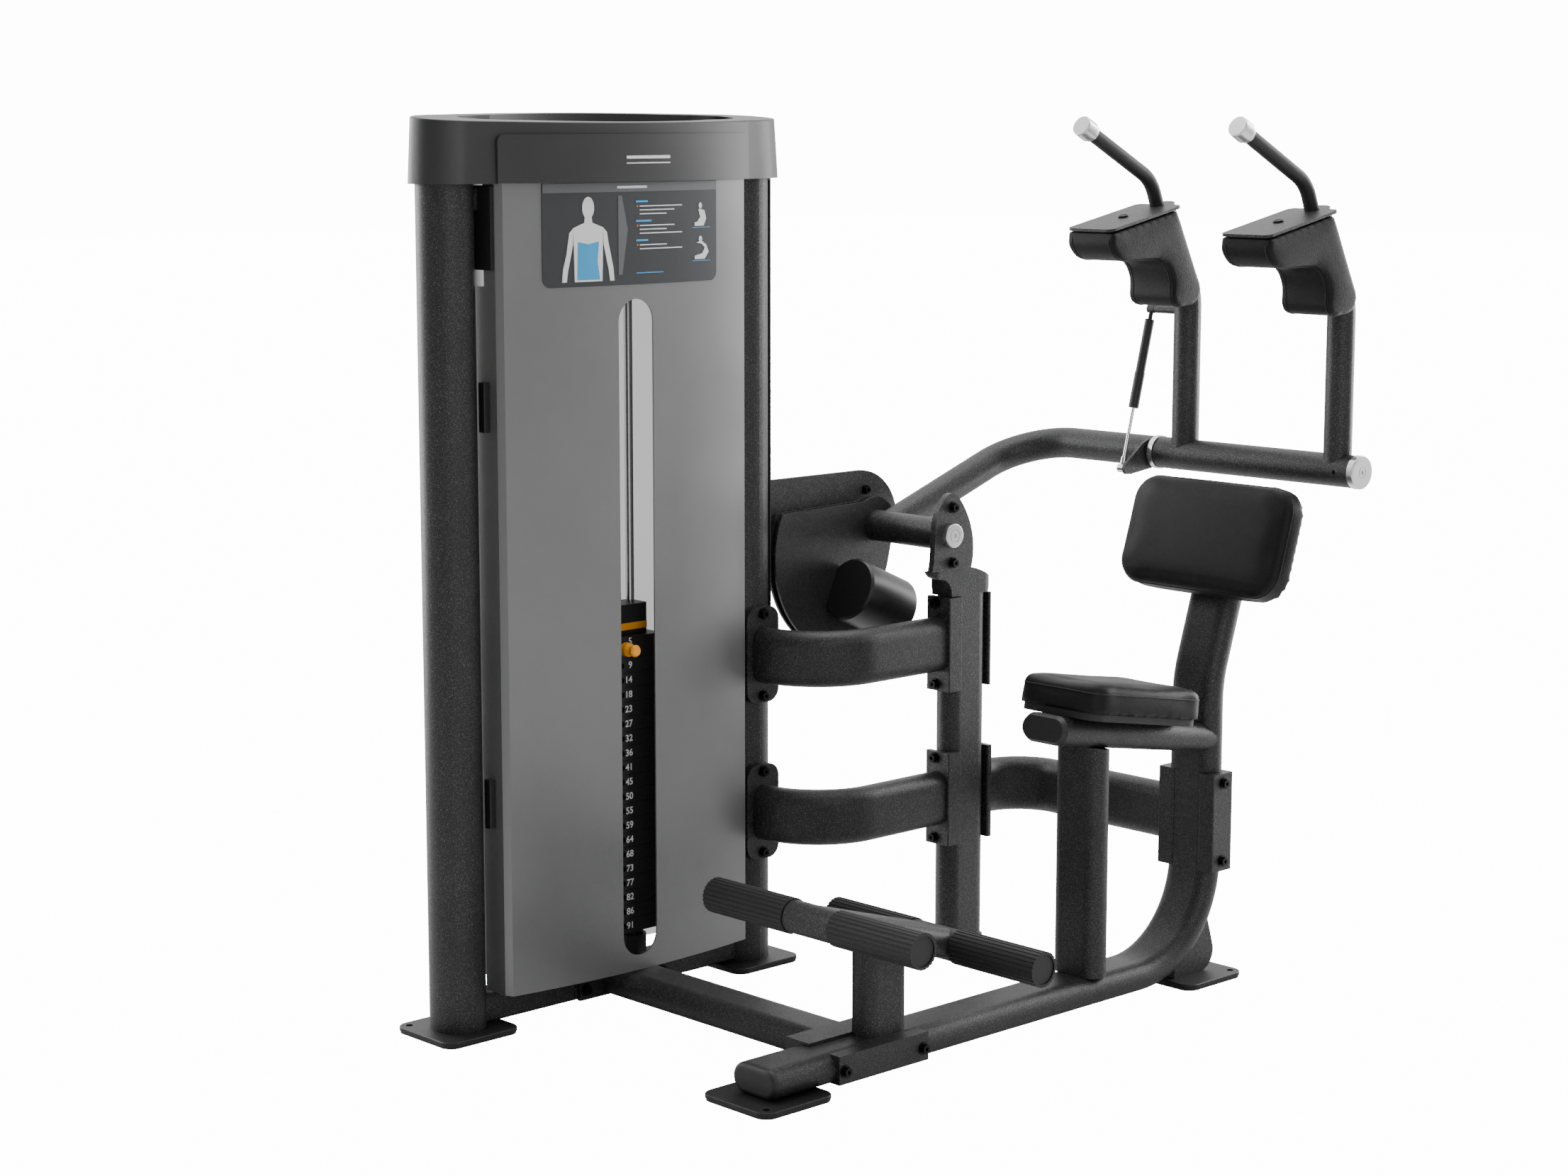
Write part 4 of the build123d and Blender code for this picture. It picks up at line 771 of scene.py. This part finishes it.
# ------------------------------------------------------------------ floor
def build_floor():
    """Pale floor that glows to the camera only."""
    bpy.ops.mesh.primitive_plane_add(size=60, location=(0, 0, -0.0005))
    floor = bpy.context.object
    floor.name = "floor"
    material, tree, bsdf = new_material("floor_pale")
    bsdf.inputs["Base Color"].default_value = (0.62, 0.62, 0.62, 1)
    bsdf.inputs["Roughness"].default_value = 0.9
    rays = add_node(tree, "ShaderNodeLightPath")
    emission = add_node(tree, "ShaderNodeEmission", Color=(1, 1, 1, 1), Strength=16.0)
    mix = add_node(tree, "ShaderNodeMixShader")
    share = math_node(tree, "MULTIPLY", rays.outputs["Is Camera Ray"], 0.9)
    tree.links.new(share, mix.inputs[0])
    tree.links.new(bsdf.outputs[0], mix.inputs[1])
    tree.links.new(emission.outputs[0], mix.inputs[2])
    tree.links.new(mix.outputs[0], tree.nodes["Material Output"].inputs["Surface"])
    floor.data.materials.append(material)


build_floor()

# ------------------------------------------------------------------ world, lights, camera
VIEW_TURN = math.radians(46.7986)
VIEW_DROP = math.radians(8.8688)
look = Vector((
    -math.sin(VIEW_TURN) * math.cos(VIEW_DROP),
    math.cos(VIEW_TURN) * math.cos(VIEW_DROP),
    -math.sin(VIEW_DROP),
))
right = look.cross(Vector((0, 0, 1))).normalized()
up = right.cross(look)


def build_world():
    """White surround, darker on the viewer's side, so that round edges catch the light."""
    world = bpy.data.worlds.new("studio")
    bpy.context.scene.world = world
    world.use_nodes = True
    tree = world.node_tree
    background = tree.nodes["Background"]
    background.inputs["Color"].default_value = (1, 1, 1, 1)
    coords = add_node(tree, "ShaderNodeTexCoord")
    dot = add_node(tree, "ShaderNodeVectorMath", operation="DOT_PRODUCT")
    dot.inputs[1].default_value = tuple((look + Vector((0, 0, 0.55))).normalized())
    tree.links.new(coords.outputs["Generated"], dot.inputs[0])
    lighting = map_range(tree, dot.outputs["Value"], 0.20, 1.9,
                         interpolation_type="SMOOTHSTEP",
                         **{"From Min": -0.55, "From Max": 0.75})
    rays = add_node(tree, "ShaderNodeLightPath")
    mix = add_node(tree, "ShaderNodeMix", data_type="FLOAT")
    mix.inputs[3].default_value = 14.0  # strength seen by the camera
    tree.links.new(rays.outputs["Is Camera Ray"], mix.inputs[0])
    tree.links.new(lighting, mix.inputs[2])
    tree.links.new(mix.outputs[0], background.inputs["Strength"])


LIGHT_TARGET = Vector((0, 0, 0.75))
# name, metres from the target (right, away from the viewer, up), width, height, watts
LIGHTS = [
    ("rim_right", (2.6, 1.6, 0.6), 1.2, 2.4, 85),
    ("rim_left", (-2.6, 1.2, 0.6), 1.2, 2.4, 70),
    ("top_soft", (0, 0.5, 3.2), 2.4, 2.4, 60),
    ("front_fill", (1.5, -4.0, 1.6), 2.0, 2.0, 40),
]


def build_lights():
    away = Vector((look.x, look.y, 0)).normalized()
    for name, (sideways, distance, rise), width, height, power in LIGHTS:
        data = bpy.data.lights.new(name, "AREA")
        data.shape = "RECTANGLE"
        data.size = width
        data.size_y = height
        data.energy = power
        lamp = add_object(name, data)
        place = LIGHT_TARGET + right * sideways + away * distance + Vector((0, 0, rise))
        lamp.location = place
        lamp.rotation_euler = (LIGHT_TARGET - place).to_track_quat("-Z", "Y").to_euler()
        lamp.visible_camera = False


def build_camera():
    data = bpy.data.cameras.new("camera")
    data.sensor_width = 36.0
    data.lens = 70.06085
    data.clip_end = 100
    camera = add_object("camera", data)
    placing = Matrix((right, up, -look)).transposed().to_4x4()
    placing.translation = design_point(3968.9, -3301.5, 1522.0)
    camera.matrix_world = placing
    bpy.context.scene.camera = camera


build_world()
build_lights()
build_camera()
